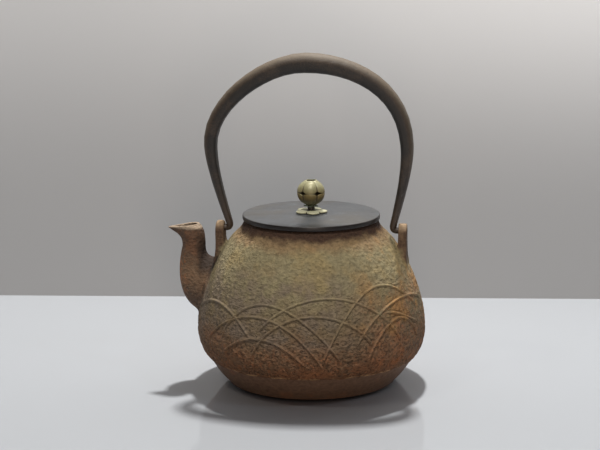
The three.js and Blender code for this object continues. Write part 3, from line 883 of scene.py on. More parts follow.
@dataclass(frozen=True)
class PaleBrassFinish:
    """The knob: brass gone pale green-cream above, ochre towards its middle and brown below."""

    name: str = "pale_brass_patina"
    cream: Colour = Colour(152, 148, 114)
    ochre: Colour = Colour(124, 107, 64)
    brown: Colour = Colour(88, 84, 64)
    # dark: painted shade in the knob's grooves, openings and inside.
    dark: Colour = Colour(58, 48, 32)
    verdigris: Colour = Colour(128, 146, 122)
    ochre_height: float = 0.0
    brown_height: float = -1.0

    def material(self) -> bpy.types.Material:
        """Makes the material, which reads the piece's hollow mark to paint shade in the grooves, openings and
        inside.

        Returns:
            The material, pale above the ochre height and brown below the brown height.
        """
        paint = Paint(self.name)
        _, _, z = paint.axes()
        hollow = paint.attribute("hollow")
        grain = paint.noise(0.8, 4.0, 0.6)
        drift = paint.noise(0.16, 3.0, 0.6, shift=2.0)
        level = z + (drift - 0.5) * 6.0
        ochre, brown = self.ochre_height / MM, self.brown_height / MM
        colour = paint.blend(self.cream, self.ochre, level.step(ochre + 7.5, ochre - 2.0))
        colour = paint.blend(colour, self.brown, level.step(brown + 0.5, brown - 4.0))
        colour = paint.blend(colour, self.verdigris, drift.step(0.56, 0.7) * 0.45)
        # Painted shade: the grooves, openings and inside are darkened by the hollow mark.
        colour = paint.blend(colour, self.dark, (hollow + (grain - 0.5) * 0.3).step(0.45, 0.95) * 0.85)
        return paint.finish(
            Base_Color=paint.shade(colour, 0.86 + grain * 0.28),
            Roughness=0.46 + (grain - 0.5) * 0.25,
            Metallic=0.15,
            Normal=paint.relief(grain, 0.12 * MM),
        )


# The casting


@dataclass
class KettleShell:
    """The casting's shell: a plain band, the seam of the two moulds, the belly, shoulder and neck."""

    base_radius: float = 52.0 * MM
    foot: Pair = (61.5 * MM, 2.2 * MM)
    seam: Pair = (75.8 * MM, 21.0 * MM)
    belly: Pair = (83.4 * MM, 41.0 * MM)
    neck: Pair = (53.5 * MM, 112.0 * MM)
    rim: Pair = (48.6 * MM, 120.7 * MM)
    mouth_radius: float = 42.0 * MM
    lip_depth: float = 7.0 * MM
    wall: float = 3.2 * MM
    floor: float = 3.8 * MM
    band_bow: float = 1.1 * MM
    band_inset: float = 0.35 * MM
    foot_edge: float = 0.7 * MM
    seam_flare: Pair = (0.57, 0.1)
    belly_hold: float = 0.34
    shoulder: Pair = (0.51, -0.19)
    neck_flare: float = 0.9 * MM
    lip_radius: float = 0.8 * MM
    tuck: Pair = (2.0 * MM, 0.6 * MM)
    hand_made: float = 0.22 * MM
    hand_made_sizes: Pair = (26.0 * MM, 9.0 * MM)
    columns: int = 640
    wrinkle: float = 0.33 * MM
    wrinkle_size: tuple[float, float, float] = (2.3 * MM, 2.3 * MM, 1.9 * MM)
    wrinkle_push: float = 1.4 * MM
    flash_height: float = 0.45 * MM
    flash_raggedness: float = 0.3 * MM

    def outline(self) -> Array:
        """The outside from the band's foot to the rim, as many (radius, height) points.

        The belly's curves leave the seam by the flare and arrive at the neck by the shoulder, both
        shares of the way, and they stand upright at the widest place for the hold's share of it.
        """
        t = np.linspace(0.0, 1.0, 200)
        foot, seam, belly = (np.array(p) for p in (self.foot, self.seam, self.belly))
        neck, rim = np.array(self.neck), np.array(self.rim)
        out = np.array([seam[1] - foot[1], foot[0] - seam[0]])
        swell = (foot + seam) / 2 + out / np.linalg.norm(out) * self.band_bow * 4 / 3
        lower, upper = belly[1] - seam[1], neck[1] - belly[1]
        flare = seam + (self.seam_flare[0] * (belly[0] - seam[0]), self.seam_flare[1] * lower)
        hold_low, hold_high = (0.0, self.belly_hold * lower), (0.0, self.belly_hold * upper)
        shoulder = neck + (self.shoulder[0] * (belly[0] - neck[0]), self.shoulder[1] * upper)
        steep = np.array([rim[0] + self.neck_flare, neck[1] + 0.45 * (rim[1] - neck[1])])
        return np.concatenate(
            [
                curve([foot, swell, swell, seam], t),
                curve([seam, flare, belly - hold_low, belly], t)[1:],
                curve([belly, belly + hold_high, shoulder, neck], t)[1:],
                curve([neck, neck / 3 + steep * 2 / 3, steep * 2 / 3 + rim / 3, rim], t)[1:],
            ]
        )

    def radius(self, height: Array | float) -> Array:
        """The outside radius at a height."""
        line = self.outline()
        return np.interp(height, line[:, 1], line[:, 0])

    def on_surface(self, azimuth: Array, height: Array, lift: Array | float = 0.0) -> Array:
        """Points on the shell's outside, uneven as a hand-rammed mould leaves it.

        The point at (azimuth, height) is moved along the outline's normal by the lift and by two
        sizes of smooth noise, which fade towards the rim and the foot.

        Args:
            azimuth: degrees.
            height: heights of the smooth outline.
            lift: how far the points stand off the surface.

        Returns:
            The points.
        """
        azimuth, height = np.broadcast_arrays(np.asarray(azimuth, float), np.asarray(height, float))
        step = 0.2 * MM
        radius = self.radius(height)
        slope = (self.radius(height + step) - self.radius(height - step)) / (2 * step)
        turn = np.radians(azimuth)
        up = -slope / np.sqrt(1 + slope**2)
        side = 1 / np.sqrt(1 + slope**2)
        point = np.stack([radius * np.cos(turn), radius * np.sin(turn), height], axis=-1)
        normal = np.stack([side * np.cos(turn), side * np.sin(turn), up], axis=-1)
        wide, narrow = self.hand_made_sizes
        uneven = cloud(point / wide, 1) + 0.45 * cloud(point / narrow, 2)
        fade = smooth(self.foot[1], 16 * MM, height) * smooth(self.rim[1], self.neck[1] - 4 * MM, height)
        off = lift + self.hand_made * fade * uneven
        return point + normal * off[..., None]

    def wrinkles(self, places: Array) -> Array:
        """The height of the cast skin's wrinkles.

        Smooth noise on a lattice that is wide and low, plus half as much on a lattice of half the size.
        The places are first pushed about by coarser noise, and the wrinkles fade out on the neck.

        Args:
            places: points on the shell.

        Returns:
            One height for each point.
        """
        push = np.stack([cloud(places / (6 * MM), seed) for seed in (43, 44, 45)], axis=-1)
        pushed = places + self.wrinkle_push * push
        size = np.array(self.wrinkle_size)
        rough = cloud(pushed / size, 41) + 0.5 * cloud(pushed / (size * 0.53), 42)
        below_neck = smooth(self.neck[1] + 4 * MM, self.neck[1] - 1 * MM, places[..., 2])
        return self.wrinkle * rough * (0.35 + 0.65 * below_neck)

    def upper(self) -> bpy.types.Object:
        """The upper mould's half, from under the seam over the lip and down the mouth."""
        azimuth = np.linspace(0.0, 360.0, self.columns, endpoint=False)
        line = self.outline()
        under_lip = self.rim[1] - self.lip_radius - 0.1 * MM
        outside = even(line[(line[:, 1] >= self.seam[1]) & (line[:, 1] <= under_lip)], 132)[:, 1]
        plain = self.on_surface(azimuth[None, :], outside[:, None])
        grid = self.on_surface(azimuth[None, :], outside[:, None], self.wrinkles(plain))
        tucked = self.on_surface(azimuth[None, :], np.full((1, 1), outside[0]), -self.tuck[0])
        tucked[..., 2] -= self.tuck[1]
        edge, crest = self.lip_radius, self.rim[1] - self.lip_radius
        out = np.linspace(0.15, np.pi / 2, 5)
        back = np.linspace(np.pi / 2, np.pi, 5)
        outer_r = self.rim[0] - edge + edge * np.cos(out)
        inner_r = self.mouth_radius + edge + edge * np.cos(back)
        outer = np.stack([outer_r, crest + edge * np.sin(out)], axis=1)
        inner = np.stack([inner_r, crest + edge * np.sin(back)], axis=1)
        down = np.linspace(crest - edge, self.rim[1] - self.lip_depth, 6)
        mouth = np.stack([np.full(len(down), self.mouth_radius), down], axis=1)
        lip = turned(np.concatenate([outer, inner, mouth]), np.radians(azimuth))
        return make_piece("kettle_shell", np.concatenate([tucked, grid, lip]))

    def lower(self) -> bpy.types.Object:
        """The lower mould's half: the plain band, the sloping underside and the flat foot."""
        azimuth = np.linspace(0.0, 360.0, 320, endpoint=False)
        band = np.linspace(self.seam[1] + 0.8 * MM, self.foot[1] + 0.8 * MM, 26)
        side = self.on_surface(azimuth[None, :], band[:, None], -self.band_inset)
        corner = np.linspace(0.0, np.pi / 2, 5)
        edge = self.foot_edge
        corner_r = self.foot[0] - 0.5 * MM + edge * np.cos(corner)
        corner_z = self.foot[1] + edge - edge * np.sin(corner)
        base = np.array(
            [
                (self.base_radius + 1.0 * MM, 0.12 * MM),
                (self.base_radius, 0.0),
                (self.base_radius / 2, 0.0),
                (0.5 * MM, 0.0),
            ]
        )
        under = turned(np.concatenate([np.stack([corner_r, corner_z], axis=1), base]), np.radians(azimuth))
        return make_piece("kettle_band", np.concatenate([side, under]), poles=True)

    def inside(self) -> bpy.types.Object:
        """The chamber's wall and floor: the outline set in by the wall, up to the straight mouth."""
        azimuth = np.radians(np.linspace(0.0, 360.0, 160, endpoint=False))
        line = self.outline()
        line = even(line[line[:, 1] < self.neck[1]], 60)
        along = np.gradient(line, axis=0)
        along /= np.linalg.norm(along, axis=1, keepdims=True)
        wall = line + np.stack([-along[:, 1], along[:, 0]], axis=1) * self.wall
        mouth_foot = self.rim[1] - self.lip_depth
        wall = wall[(wall[:, 1] > self.floor + 1.5 * MM) & (wall[:, 1] < mouth_foot - 2 * MM)]
        reach = wall[0, 0]
        floor = np.array([(0.5 * MM, self.floor), (reach / 2, self.floor), (reach - 3 * MM, self.floor)])
        mouth = np.array([(self.mouth_radius - 0.2 * MM, mouth_foot + 0.3 * MM)])
        piece = make_piece("kettle_chamber", turned(np.concatenate([floor, wall, mouth]), azimuth))
        piece.data.flip_normals()
        return piece

    def flash(self) -> bpy.types.Object:
        """The ragged fin where the moulds met: a low ridge whose height and place wander with noise."""
        azimuth = np.linspace(0.0, 360.0, 900, endpoint=False)
        ring = turned(np.array([(self.seam[0], 0.0)]), np.radians(azimuth))[0]
        ragged = cloud(ring / (2.3 * MM), 5) + 0.6 * cloud(ring / (0.9 * MM), 6)
        patchy = smooth(-0.5, 0.4, cloud(ring / (17 * MM), 7))
        fin = (0.1 + 0.9 * patchy) * (self.flash_height + self.flash_raggedness * ragged)
        wander = 0.45 * MM * cloud(ring / (7 * MM), 8) + 0.2 * MM * ragged
        across = np.linspace(-1.0, 1.0, 9)[:, None]
        height = self.seam[1] + wander[None, :] + across * 1.0 * MM
        lift = fin[None, :] * np.clip(1.0 - np.abs(across) ** 1.2, 0.0, 1.0) - 0.3 * MM * np.abs(across) ** 3
        return make_piece("casting_flash", self.on_surface(azimuth[None, :], height, lift))

    def build(self) -> None:
        """Makes and dresses the shell's pieces."""
        skin = CastIronFinish().material()
        dress_casting(self.upper(), skin)
        dress_casting(self.lower(), skin)
        dress_casting(self.inside(), ChamberFinish().material())
        dress_casting(self.flash(), FlashFinish().material())


@dataclass
class Grass:
    """Cast relief of bent blades of grass, the same on the front and, turned half round, on the back.

    Each blade is a cubic curve of four (azimuth in degrees, share of the way from the seam to the neck).
    """

    shell: KettleShell
    half_width: float = 1.6 * MM
    height: float = 1.2 * MM
    sunk: float = 0.4 * MM
    taper: float = 5.0 * MM
    blades: tuple[tuple[tuple[float, float], ...], ...] = (
        ((195, 0.39), (210, 0.6), (233, 0.57), (245, 0.31)),
        ((228, 0.33), (246, 0.8), (277, 0.52), (291, 0.14)),
        ((215, 0.24), (241, 0.61), (266, 0.55), (283, 0.08)),
        ((249, 0.36), (268, 0.78), (312, 0.7), (326, 0.23)),
        ((246, 0.16), (256, 0.59), (293, 0.62), (308, 0.24)),
        ((227, 0.15), (244, 0.39), (260, 0.37), (274, 0.11)),
        ((281, 0.12), (293, 0.63), (316, 0.92), (346, 0.45)),
        ((298, 0.25), (309, 0.57), (337, 0.65), (357, 0.48)),
        ((304, 0.12), (311, 0.42), (332, 0.59), (342, 0.2)),
        ((316, 0.48), (323, 0.51), (336, 0.38), (344, 0.34)),
    )

    def crown(self) -> Array:
        """The height across a blade, from 0 at its edges to 1 along its middle."""
        return np.cos(np.linspace(-1.0, 1.0, 13) * np.pi / 2) ** 1.25

    def blade(self, controls: Sequence[Sequence[float]], turn: float) -> Array:
        """One blade as a grid of points, wound round the shell.

        Across the blade the height is a raised cosine. The width and the height grow smoothly from
        the ends over the taper, and the edges lie under the skin.

        Args:
            controls: the curve's four (azimuth, share).
            turn: degrees by which the blade is turned about the kettle's axis.

        Returns:
            Rows along the blade and columns across it.
        """
        seam, neck = self.shell.seam[1], self.shell.neck[1]
        path = curve(controls, np.linspace(0.0, 1.0, 200))
        azimuth, height = path[:, 0] + turn, seam + path[:, 1] * (neck - seam)
        place = self.shell.on_surface(azimuth, height)
        track = np.concatenate([place, azimuth[:, None], height[:, None]], axis=1)
        run = length_along(place)
        wanted = np.linspace(0.0, run[-1], 130)
        middle = np.stack([np.interp(wanted, run, track[:, k]) for k in range(5)], axis=1)
        forward = np.gradient(middle[:, :3], axis=0)
        forward /= np.linalg.norm(forward, axis=1, keepdims=True)
        outward = (self.shell.on_surface(middle[:, 3], middle[:, 4], 1 * MM) - middle[:, :3]) / MM
        sideways = np.cross(outward, forward)
        grown = smooth(0.0, self.taper, np.minimum(wanted, run[-1] - wanted))
        crown = self.crown()
        across = np.linspace(-1.0, 1.0, len(crown))
        reach = across[None, :] * (self.half_width * (0.35 + 0.65 * grown))[:, None]
        spread = middle[:, None, :3] + sideways[:, None] * reach[..., None]
        degrees = np.degrees(np.arctan2(spread[..., 1], spread[..., 0]))
        lift = (self.height + self.sunk) * (0.2 + 0.8 * grown)[:, None] * crown[None, :] - self.sunk
        return self.shell.on_surface(degrees, spread[..., 2], lift)

    def build(self) -> None:
        """Makes and dresses both groups of blades."""
        # The relief's skin paints each blade lighter along its middle and darker at its edges, as highlight
        # and shade.
        skin = CastIronFinish(name="grass_relief_skin", wrinkle_share=0.3, ridge=0.34).material()
        for side, turn in (("front", 0.0), ("back", 180.0)):
            grids = [self.blade(controls, turn) for controls in self.blades]
            dress_casting(make_strips(f"grass_relief_{side}", grids, self.crown()), skin)


@dataclass
class Spout:
    """The curved spout, with its flared root, beaked mouth and bore."""

    shell: KettleShell
    reach: float = 101.0 * MM
    root_low: float = 50.0 * MM
    crotch: float = 90.0 * MM
    neck_x: float = -86.7 * MM
    neck_height: float = 99.0 * MM
    neck_radius: float = 8.5 * MM
    root_half_width: float = 16.0 * MM
    mouth_height: float = 115.2 * MM
    beak_reach: float = 8.5 * MM
    beak_drop: float = 1.9 * MM
    root_share: float = 0.96
    front_pull: Pair = (0.08, 0.53)
    mouth_pull: Pair = (0.3, 0.5)
    front_lean: Pair = (0.6 * MM, 2.2 * MM)
    back_lean: Pair = (1.0 * MM, 4.2 * MM)
    flare_margins: tuple[float, float, float] = (2.5 * MM, 4.0 * MM, 3.0 * MM)
    flare_end: float = 0.16
    wall: float = 2.6 * MM
    lip_wall: float = 1.8 * MM
    bore_end: float = 0.3
    bore_beak: Pair = (0.82, 5.0)
    ear_inner_x: float = 63.8 * MM
    ear_thickness: float = 6.0 * MM
    columns: int = 112

    def rails(self, t: Array) -> tuple[Array, Array]:
        """The front and back edges in the XZ plane.

        Each edge is one cubic curve from the root (t is 0) to the neck (1) and another to the mouth (2).
        The pulls are the heights of the curves' handles, as shares of the way up. The leans are how far
        the edges lean out at the upper handle and at the mouth.

        Args:
            t: places along the spout.

        Returns:
            The front and back points, as (x, z).
        """
        front_x, back_x = self.neck_x - self.neck_radius, self.neck_x + self.neck_radius
        low, neck, top = self.root_low, self.neck_height, self.mouth_height
        lift, mouth = neck - low, top - neck
        to_neck, to_mouth = np.clip(t, 0, 1), np.clip(t - 1, 0, 1)
        front_low = curve(
            [
                (-self.root_share * self.shell.belly[0], low),
                (-self.root_share * self.reach, low + self.front_pull[0] * lift),
                (-self.reach, low + self.front_pull[1] * lift),
                (front_x, neck),
            ],
            to_neck,
        )
        back_low = curve(
            [
                (-self.ear_inner_x - 1 * MM, self.crotch + 1 * MM),
                (back_x + 3 * MM, self.crotch - 1 * MM),
                (back_x, self.crotch + 2 * MM),
                (back_x, neck),
            ],
            to_neck,
        )
        front_top = curve(
            [
                (front_x, neck),
                (front_x, neck + self.mouth_pull[0] * mouth),
                (front_x - self.front_lean[0], neck + self.mouth_pull[1] * mouth),
                (front_x - self.front_lean[1], top - self.beak_drop),
            ],
            to_mouth,
        )
        back_top = curve(
            [
                (back_x, neck),
                (back_x, neck + self.mouth_pull[1] * mouth),
                (back_x - self.back_lean[0], top - 2.5 * MM),
                (back_x - self.back_lean[1], top),
            ],
            to_mouth,
        )
        above = (t > 1)[:, None]
        return np.where(above, front_top, front_low), np.where(above, back_top, back_low)

    def rings(
        self,
        t: Array,
        inset: Array | float = 0.0,
        beak_share: float = 1.0,
        power: float = 3.0,
    ) -> Array:
        """Ovals between the two edges, drawn out at the front by the beak.

        Going round an oval by an angle a, a point is the middle, plus half the way to the front edge
        times cos a, plus the half width times sin a along Y, plus the beak times the sixth power of
        cos a where that is positive.

        Args:
            t: places along the spout, 0 to 2.
            inset: how far the oval lies inside the outer one.
            beak_share: the beak's share.
            power: how suddenly the beak grows towards the mouth.

        Returns:
            One ring for each t.
        """
        front, back = self.rails(t)
        angle = np.linspace(0.0, 2 * np.pi, self.columns, endpoint=False)
        half = (front - back) / 2
        middle = (front + back) / 2
        length = np.linalg.norm(half, axis=1, keepdims=True)
        ahead = half / length
        inset = np.broadcast_to(inset, t.shape)
        upper = np.clip(t - 1, 0, 1)
        width = self.root_half_width + (self.neck_radius - self.root_half_width) * smooth(0.0, 1.0, t)
        width = width - 1.2 * MM * upper**6 - inset
        nose = self.beak_reach * beak_share * upper**power
        push = (length[:, 0] - inset)[:, None] * np.cos(angle)[None, :]
        push = push + nose[:, None] * np.clip(np.cos(angle), 0, 1)[None, :] ** 6
        x = middle[:, :1] + ahead[:, :1] * push
        z = middle[:, 1:] + ahead[:, 1:] * push
        y = width[:, None] * np.sin(angle)[None, :]
        return np.stack([x, y, z], axis=-1)

    def footprint(self, grow: float, sink: float) -> Array:
        """The ring where the flare runs out on the shell, or on the ear's face at the top.

        The margins are how far it lies below, above and beside the spout's own root.

        Args:
            grow: how far the ring is widened further.
            sink: how deep it lies under the surface.

        Returns:
            One ring of points.
        """
        angle = np.linspace(0.0, 2 * np.pi, self.columns, endpoint=False)
        below, above, beside = self.flare_margins
        low, high = self.root_low - below - grow, self.crotch + above + grow
        height = (low + high) / 2 - (high - low) / 2 * np.cos(angle)
        y = (self.root_half_width + beside + grow) * np.sin(angle)
        radius = self.shell.radius(height)
        x = -np.sqrt(np.clip(radius**2 - y**2, 0, None))
        azimuth = np.degrees(np.arctan2(y, x))
        point = self.shell.on_surface(azimuth, height, -sink)
        face = -(self.ear_inner_x + self.ear_thickness) + sink
        on_ear = smooth(10.0 * MM, 5.0 * MM, np.abs(y)) * smooth(84 * MM, 90 * MM, height)
        point[:, 0] = point[:, 0] + (np.minimum(face, point[:, 0]) - point[:, 0]) * on_ear
        return point

    def build(self) -> None:
        """Makes and dresses the spout as one closed wall: root, outside, lip, bore and back.

        The flare is a cubic Hermite patch: at the spout it leaves along the spout's own wall, and on
        the shell it arrives along the line from one footprint ring to the next.
        """
        to_neck, to_mouth = np.linspace(self.flare_end, 1.0, 46), np.linspace(1.0, 2.0, 34)[1:]
        tube = self.rings(np.concatenate([to_neck, to_mouth]))
        wall_end, foot = tube[0], self.footprint(0.0, 0.1 * MM)
        leave = wall_end - tube[1]
        leave /= np.linalg.norm(leave, axis=1, keepdims=True)
        arrive = self.footprint(2 * MM, 0.1 * MM) - foot
        arrive /= np.linalg.norm(arrive, axis=1, keepdims=True)
        span = np.linalg.norm(foot - wall_end, axis=1, keepdims=True)
        s = np.linspace(0.0, 1.0, 15)[:-1, None, None]
        flare = (
            (2 * s**3 - 3 * s**2 + 1) * foot
            + (s**3 - 2 * s**2 + s) * (-arrive * span)
            + (3 * s**2 - 2 * s**3) * wall_end
            + (s**3 - s**2) * (-leave * span)
        )
        hidden = self.footprint(1.5 * MM, 1.2 * MM)[None]
        outer_rim = tube[-1]
        inner_rim = self.rings(np.array([2.0]), self.lip_wall, *self.bore_beak)[0]
        turn = np.linspace(0.0, np.pi, 9)[1:-1, None, None]
        crest = (outer_rim + inner_rim) / 2 + (outer_rim - inner_rim) / 2 * np.cos(turn)
        crest[..., 2] += 0.55 * MM * np.sin(turn[..., 0])
        down = np.linspace(2.0, self.bore_end, 44)
        walls = [self.wall * 1.8, self.wall, self.lip_wall]
        thickness = np.interp(down, [self.bore_end, 1.0, 2.0], walls)
        bore = self.rings(down, thickness, *self.bore_beak)
        grid = np.concatenate([hidden, flare, tube, crest, bore])
        skin = CastIronFinish(name="spout_skin", zone=Zone.SPOUT, wrinkle_share=0.8).material()
        dress_casting(make_piece("spout", grid, tube=True), skin)


@dataclass
class Ear:
    """One of the two pierced ears that hold the bail."""

    shell: KettleShell
    side: int
    inner_x: float = 63.8 * MM
    thickness: float = 6.0 * MM
    arch_radius: float = 7.0 * MM
    top: float = 118.2 * MM
    root_half_width: float = 11.0 * MM
    root_height: float = 84.0 * MM
    waist_pull: Pair = (8.0 * MM, 12.0 * MM)
    edge: float = 1.1 * MM
    root_swell: Pair = (1.0 * MM, 2.2 * MM)
    pivot_height: float = 113.0 * MM
    hole_radius: float = 2.65 * MM

    def outline(self, count: int) -> Array:
        """The ear's edge in the YZ plane, from one side of its root over the arch to the other.

        Each side is a cubic curve whose handles stand upright over the root and under the arch.

        Args:
            count: how many points to give.

        Returns:
            The points as (y, z), at even steps.
        """
        centre = self.top - self.arch_radius
        t = np.linspace(0.0, 1.0, 40)
        arch = np.linspace(0.0, np.pi, 60)
        left = curve(
            [
                (self.root_half_width, self.root_height),
                (self.root_half_width, self.root_height + self.waist_pull[0]),
                (self.arch_radius, centre - self.waist_pull[1]),
                (self.arch_radius, centre),
            ],
            t,
        )
        top = np.stack([self.arch_radius * np.cos(arch), centre + self.arch_radius * np.sin(arch)], axis=1)
        right = left[::-1] * (-1, 1)
        under = np.linspace(-1, 1, 24)[1:-1, None] * (self.root_half_width, 0) + (0, self.root_height)
        return even(np.concatenate([left, top[1:-1], right, under, left[:1]]), count + 1)[:-1]

    def build(self) -> None:
        """Makes and dresses the ear as a closed ring round its hole.

        Columns go round the outline. Rows go over one face from the hole, round the rounded edge, back
        over the other face and through the hole. The faces swell where they meet the shell, and the
        beyond mark grows from 0 to 1 where the ear comes clear of it.
        """
        columns, face_rows = 120, 21
        edge = self.outline(columns)
        centre = np.array([0.0, self.pivot_height])
        angle = np.arctan2(edge[:, 1] - centre[1], edge[:, 0])
        hole = centre + self.hole_radius * np.stack([np.cos(angle), np.sin(angle)], axis=1)
        outward = edge - edge.mean(axis=0)
        outward /= np.linalg.norm(outward, axis=1, keepdims=True)

        half = self.thickness / 2
        corner = np.linspace(0.0, np.pi / 2, 6)
        over = np.linspace(0.0, 1.0, face_rows + 1)[1:]
        on_faces = np.zeros(face_rows)
        across = np.concatenate([over, np.ones(2 * len(corner) - 2), over[::-1]])
        bulge = np.concatenate([on_faces, np.sin(corner)[1:], np.cos(corner)[:-1], on_faces])
        depth = np.concatenate(
            [
                on_faces + half,
                half - self.edge * (1 - np.cos(corner))[1:],
                -half + self.edge * (1 - np.sin(corner))[:-1],
                on_faces - half,
            ]
        )
        flat = hole[None] + (edge - outward * self.edge - hole)[None] * across[:, None, None]
        flat = flat + outward[None] * (self.edge * bulge)[:, None, None]
        through = np.linspace(-1.0, 1.0, 7)[1:-1]
        flat = np.concatenate([flat, np.repeat(hole[None], len(through), axis=0)])
        depth = np.concatenate([depth, through * half])[:, None]

        y, z = flat[..., 0], flat[..., 1]
        outer = depth > 0
        face_x = np.where(outer, self.inner_x + self.thickness, self.inner_x)
        gap = np.clip(face_x - self.shell.radius(z), 0, None)
        near = np.exp(-gap / (2.0 * MM)) * smooth(112 * MM, 100 * MM, z)
        swell = np.where(outer, *self.root_swell) * near * np.abs(depth) / half
        x = self.side * (self.inner_x + half + depth + np.sign(depth) * swell)
        grid = np.stack([x, y, z], axis=-1)
        grid = grid + 0.12 * MM * cloud(grid / (6 * MM), 11)[..., None] * np.array([1.0, 0.3, 0.3])
        clear = np.hypot(grid[..., 0], grid[..., 1]) - self.shell.radius(grid[..., 2])
        marks = {"beyond": smooth(0.0, 3.0 * MM, clear)}
        name = "ear_right" if self.side > 0 else "ear_left"
        skin = CastIronFinish(name=f"{name}_skin", zone=Zone.EAR, wrinkle_share=0.7).material()
        dress_casting(make_piece(name, grid, tube=True, marks=marks), skin)


# The bail


@dataclass
class Bail:
    """The forged bail: two pins in the ears, two legs and a bow with a rounded crown and a flat underside."""

    pivot_height: float = 113.0 * MM
    pin_radius: float = 2.3 * MM
    pin_end_x: float = 69.5 * MM
    end_x: float = 60.3 * MM
    end_rise: float = 5.0 * MM
    half_span: float = 71.45 * MM
    span_height: float = 174.0 * MM
    apex_height: float = 234.4 * MM
    haunch_rise: float = 35.4 * MM
    haunch_reach: float = 33.8 * MM
    uneven: float = 5.0 * MM
    lean: float = 3.8 * MM
    elbow_tuck: float = 1.1 * MM
    leg_bow: float = 5.7 * MM
    leg_pull: Pair = (0.36, 0.28)
    end_half: Pair = (2.5 * MM, 3.4 * MM)
    span_half: Pair = (4.7 * MM, 6.0 * MM)
    haunch_half: Pair = (6.1 * MM, 7.2 * MM)
    apex_half: Pair = (7.2 * MM, 8.0 * MM)
    dent: float = 0.018
    sides: int = 56

    def half(self, side: int) -> tuple[Array, Array, Array]:
        """One half, from the pin's end to the apex, at even steps.

        The pin is straight, and the elbow, the leg and the arch are one cubic curve each. The leg's
        pulls are how far its handles stand from its ends, as shares of its climb.

        Args:
            side: 1 away from the spout and -1 towards it.

        Returns:
            The centre line as (x, z), the half sizes of the section, and its squareness.
        """
        fuller = side * self.uneven
        end = self.pivot_height + self.end_rise
        climb = self.span_height - end
        turn = self.end_x + 3 * MM
        pivot = self.pivot_height
        count = 60
        t = np.linspace(0.0, 1.0, count)
        pin = np.stack([np.linspace(self.pin_end_x, turn, count), np.full(count, pivot)], axis=1)
        elbow = curve(
            [
                (turn, pivot),
                (self.end_x, pivot),
                (self.end_x - self.elbow_tuck, pivot + 0.2 * self.end_rise),
                (self.end_x, end),
            ],
            t,
        )
        leg = curve(
            [
                (self.end_x, end),
                (self.end_x + self.leg_bow, end + self.leg_pull[0] * climb),
                (self.half_span, self.span_height - self.leg_pull[1] * climb),
                (self.half_span, self.span_height),
            ],
            t,
        )
        arch = curve(
            [
                (self.half_span, self.span_height),
                (self.half_span, self.span_height + self.haunch_rise + fuller),
                (self.haunch_reach + fuller, self.apex_height),
                (0.0, self.apex_height),
            ],
            t,
        )
        pin_size = np.full((count, 2), self.pin_radius)
        ends = np.array([self.end_half, self.span_half, self.haunch_half, self.apex_half])
        sizes = np.concatenate(
            [
                pin_size,
                pin_size + (ends[0] - pin_size) * smooth(0, 1, t)[:, None],
                ends[0] + (ends[1] - ends[0]) * t[:, None],
                np.stack([np.interp(t, [0, 0.5, 1], ends[1:, k]) for k in range(2)], axis=1),
            ]
        )
        square = np.concatenate([np.zeros(count), 0.6 * t, 0.6 + 0.4 * t, np.ones(count)])
        line = np.concatenate([pin, elbow, leg, arch])
        line[:, 0] = side * line[:, 0] - self.lean * (line[:, 1] - pivot) / (self.apex_height - pivot)
        rows = even(np.concatenate([line, sizes, square[:, None]], axis=1), 130)
        return rows[:, :2], rows[:, 2:4], rows[:, 4]

    def build(self) -> None:
        """Makes and dresses the bail.

        Each section is a superellipse: across is cos a and outward is sin a, each raised to a power
        that is 0.85 on the crown and 0.55 on the underside where the section is fully squared. The
        hammer leaves the half sizes a little uneven along the bow.
        """
        left, left_size, left_square = self.half(-1)
        right, right_size, right_square = self.half(1)
        line = np.concatenate([left, right[::-1][1:]])
        size = np.concatenate([left_size, right_size[::-1][1:]])
        square = np.concatenate([left_square, right_square[::-1][1:]])
        along = np.gradient(line, axis=0)
        along /= np.linalg.norm(along, axis=1, keepdims=True)
        out = np.stack([-along[:, 1], np.zeros(len(line)), along[:, 0]], axis=1)
        angle = 2 * np.pi * (np.arange(self.sides) + 0.5) / self.sides
        c, s = np.cos(angle)[None, :], np.sin(angle)[None, :]
        power = np.where(s < 0, 1 - 0.45 * square[:, None], 1 - 0.15 * square[:, None])
        across = np.sign(c) * np.abs(c) ** power
        rise = np.sign(s) * np.abs(s) ** power
        place = np.stack([line[:, 0], np.zeros(len(line)), line[:, 1]], axis=1)
        dents = cloud(place[:, None] / (11 * MM) + np.stack([across, rise, rise], axis=-1), 21)
        hammered = 1 + self.dent * square[:, None] * dents
        grid = place[:, None] + out[:, None] * (size[:, :1] * rise * hammered)[..., None]
        grid[..., 1] += size[:, 1:] * across * hammered
        # The crown mark: the upper side of the section, more so towards the apex, where the finish paints
        # rubbing and highlight.
        crown = np.clip(rise, 0, 1) * square[:, None]
        top = np.clip((line[:, 1] - self.span_height) / (self.apex_height - self.span_height), -0.4, 1)
        crown = crown * (0.55 + 0.45 * top[:, None])
        piece = make_piece("bail", grid, poles=True, marks={"crown": crown})
        dress(piece, "bail", ForgedFinish().material(), ["bail_handle"])


# The lid and its knob


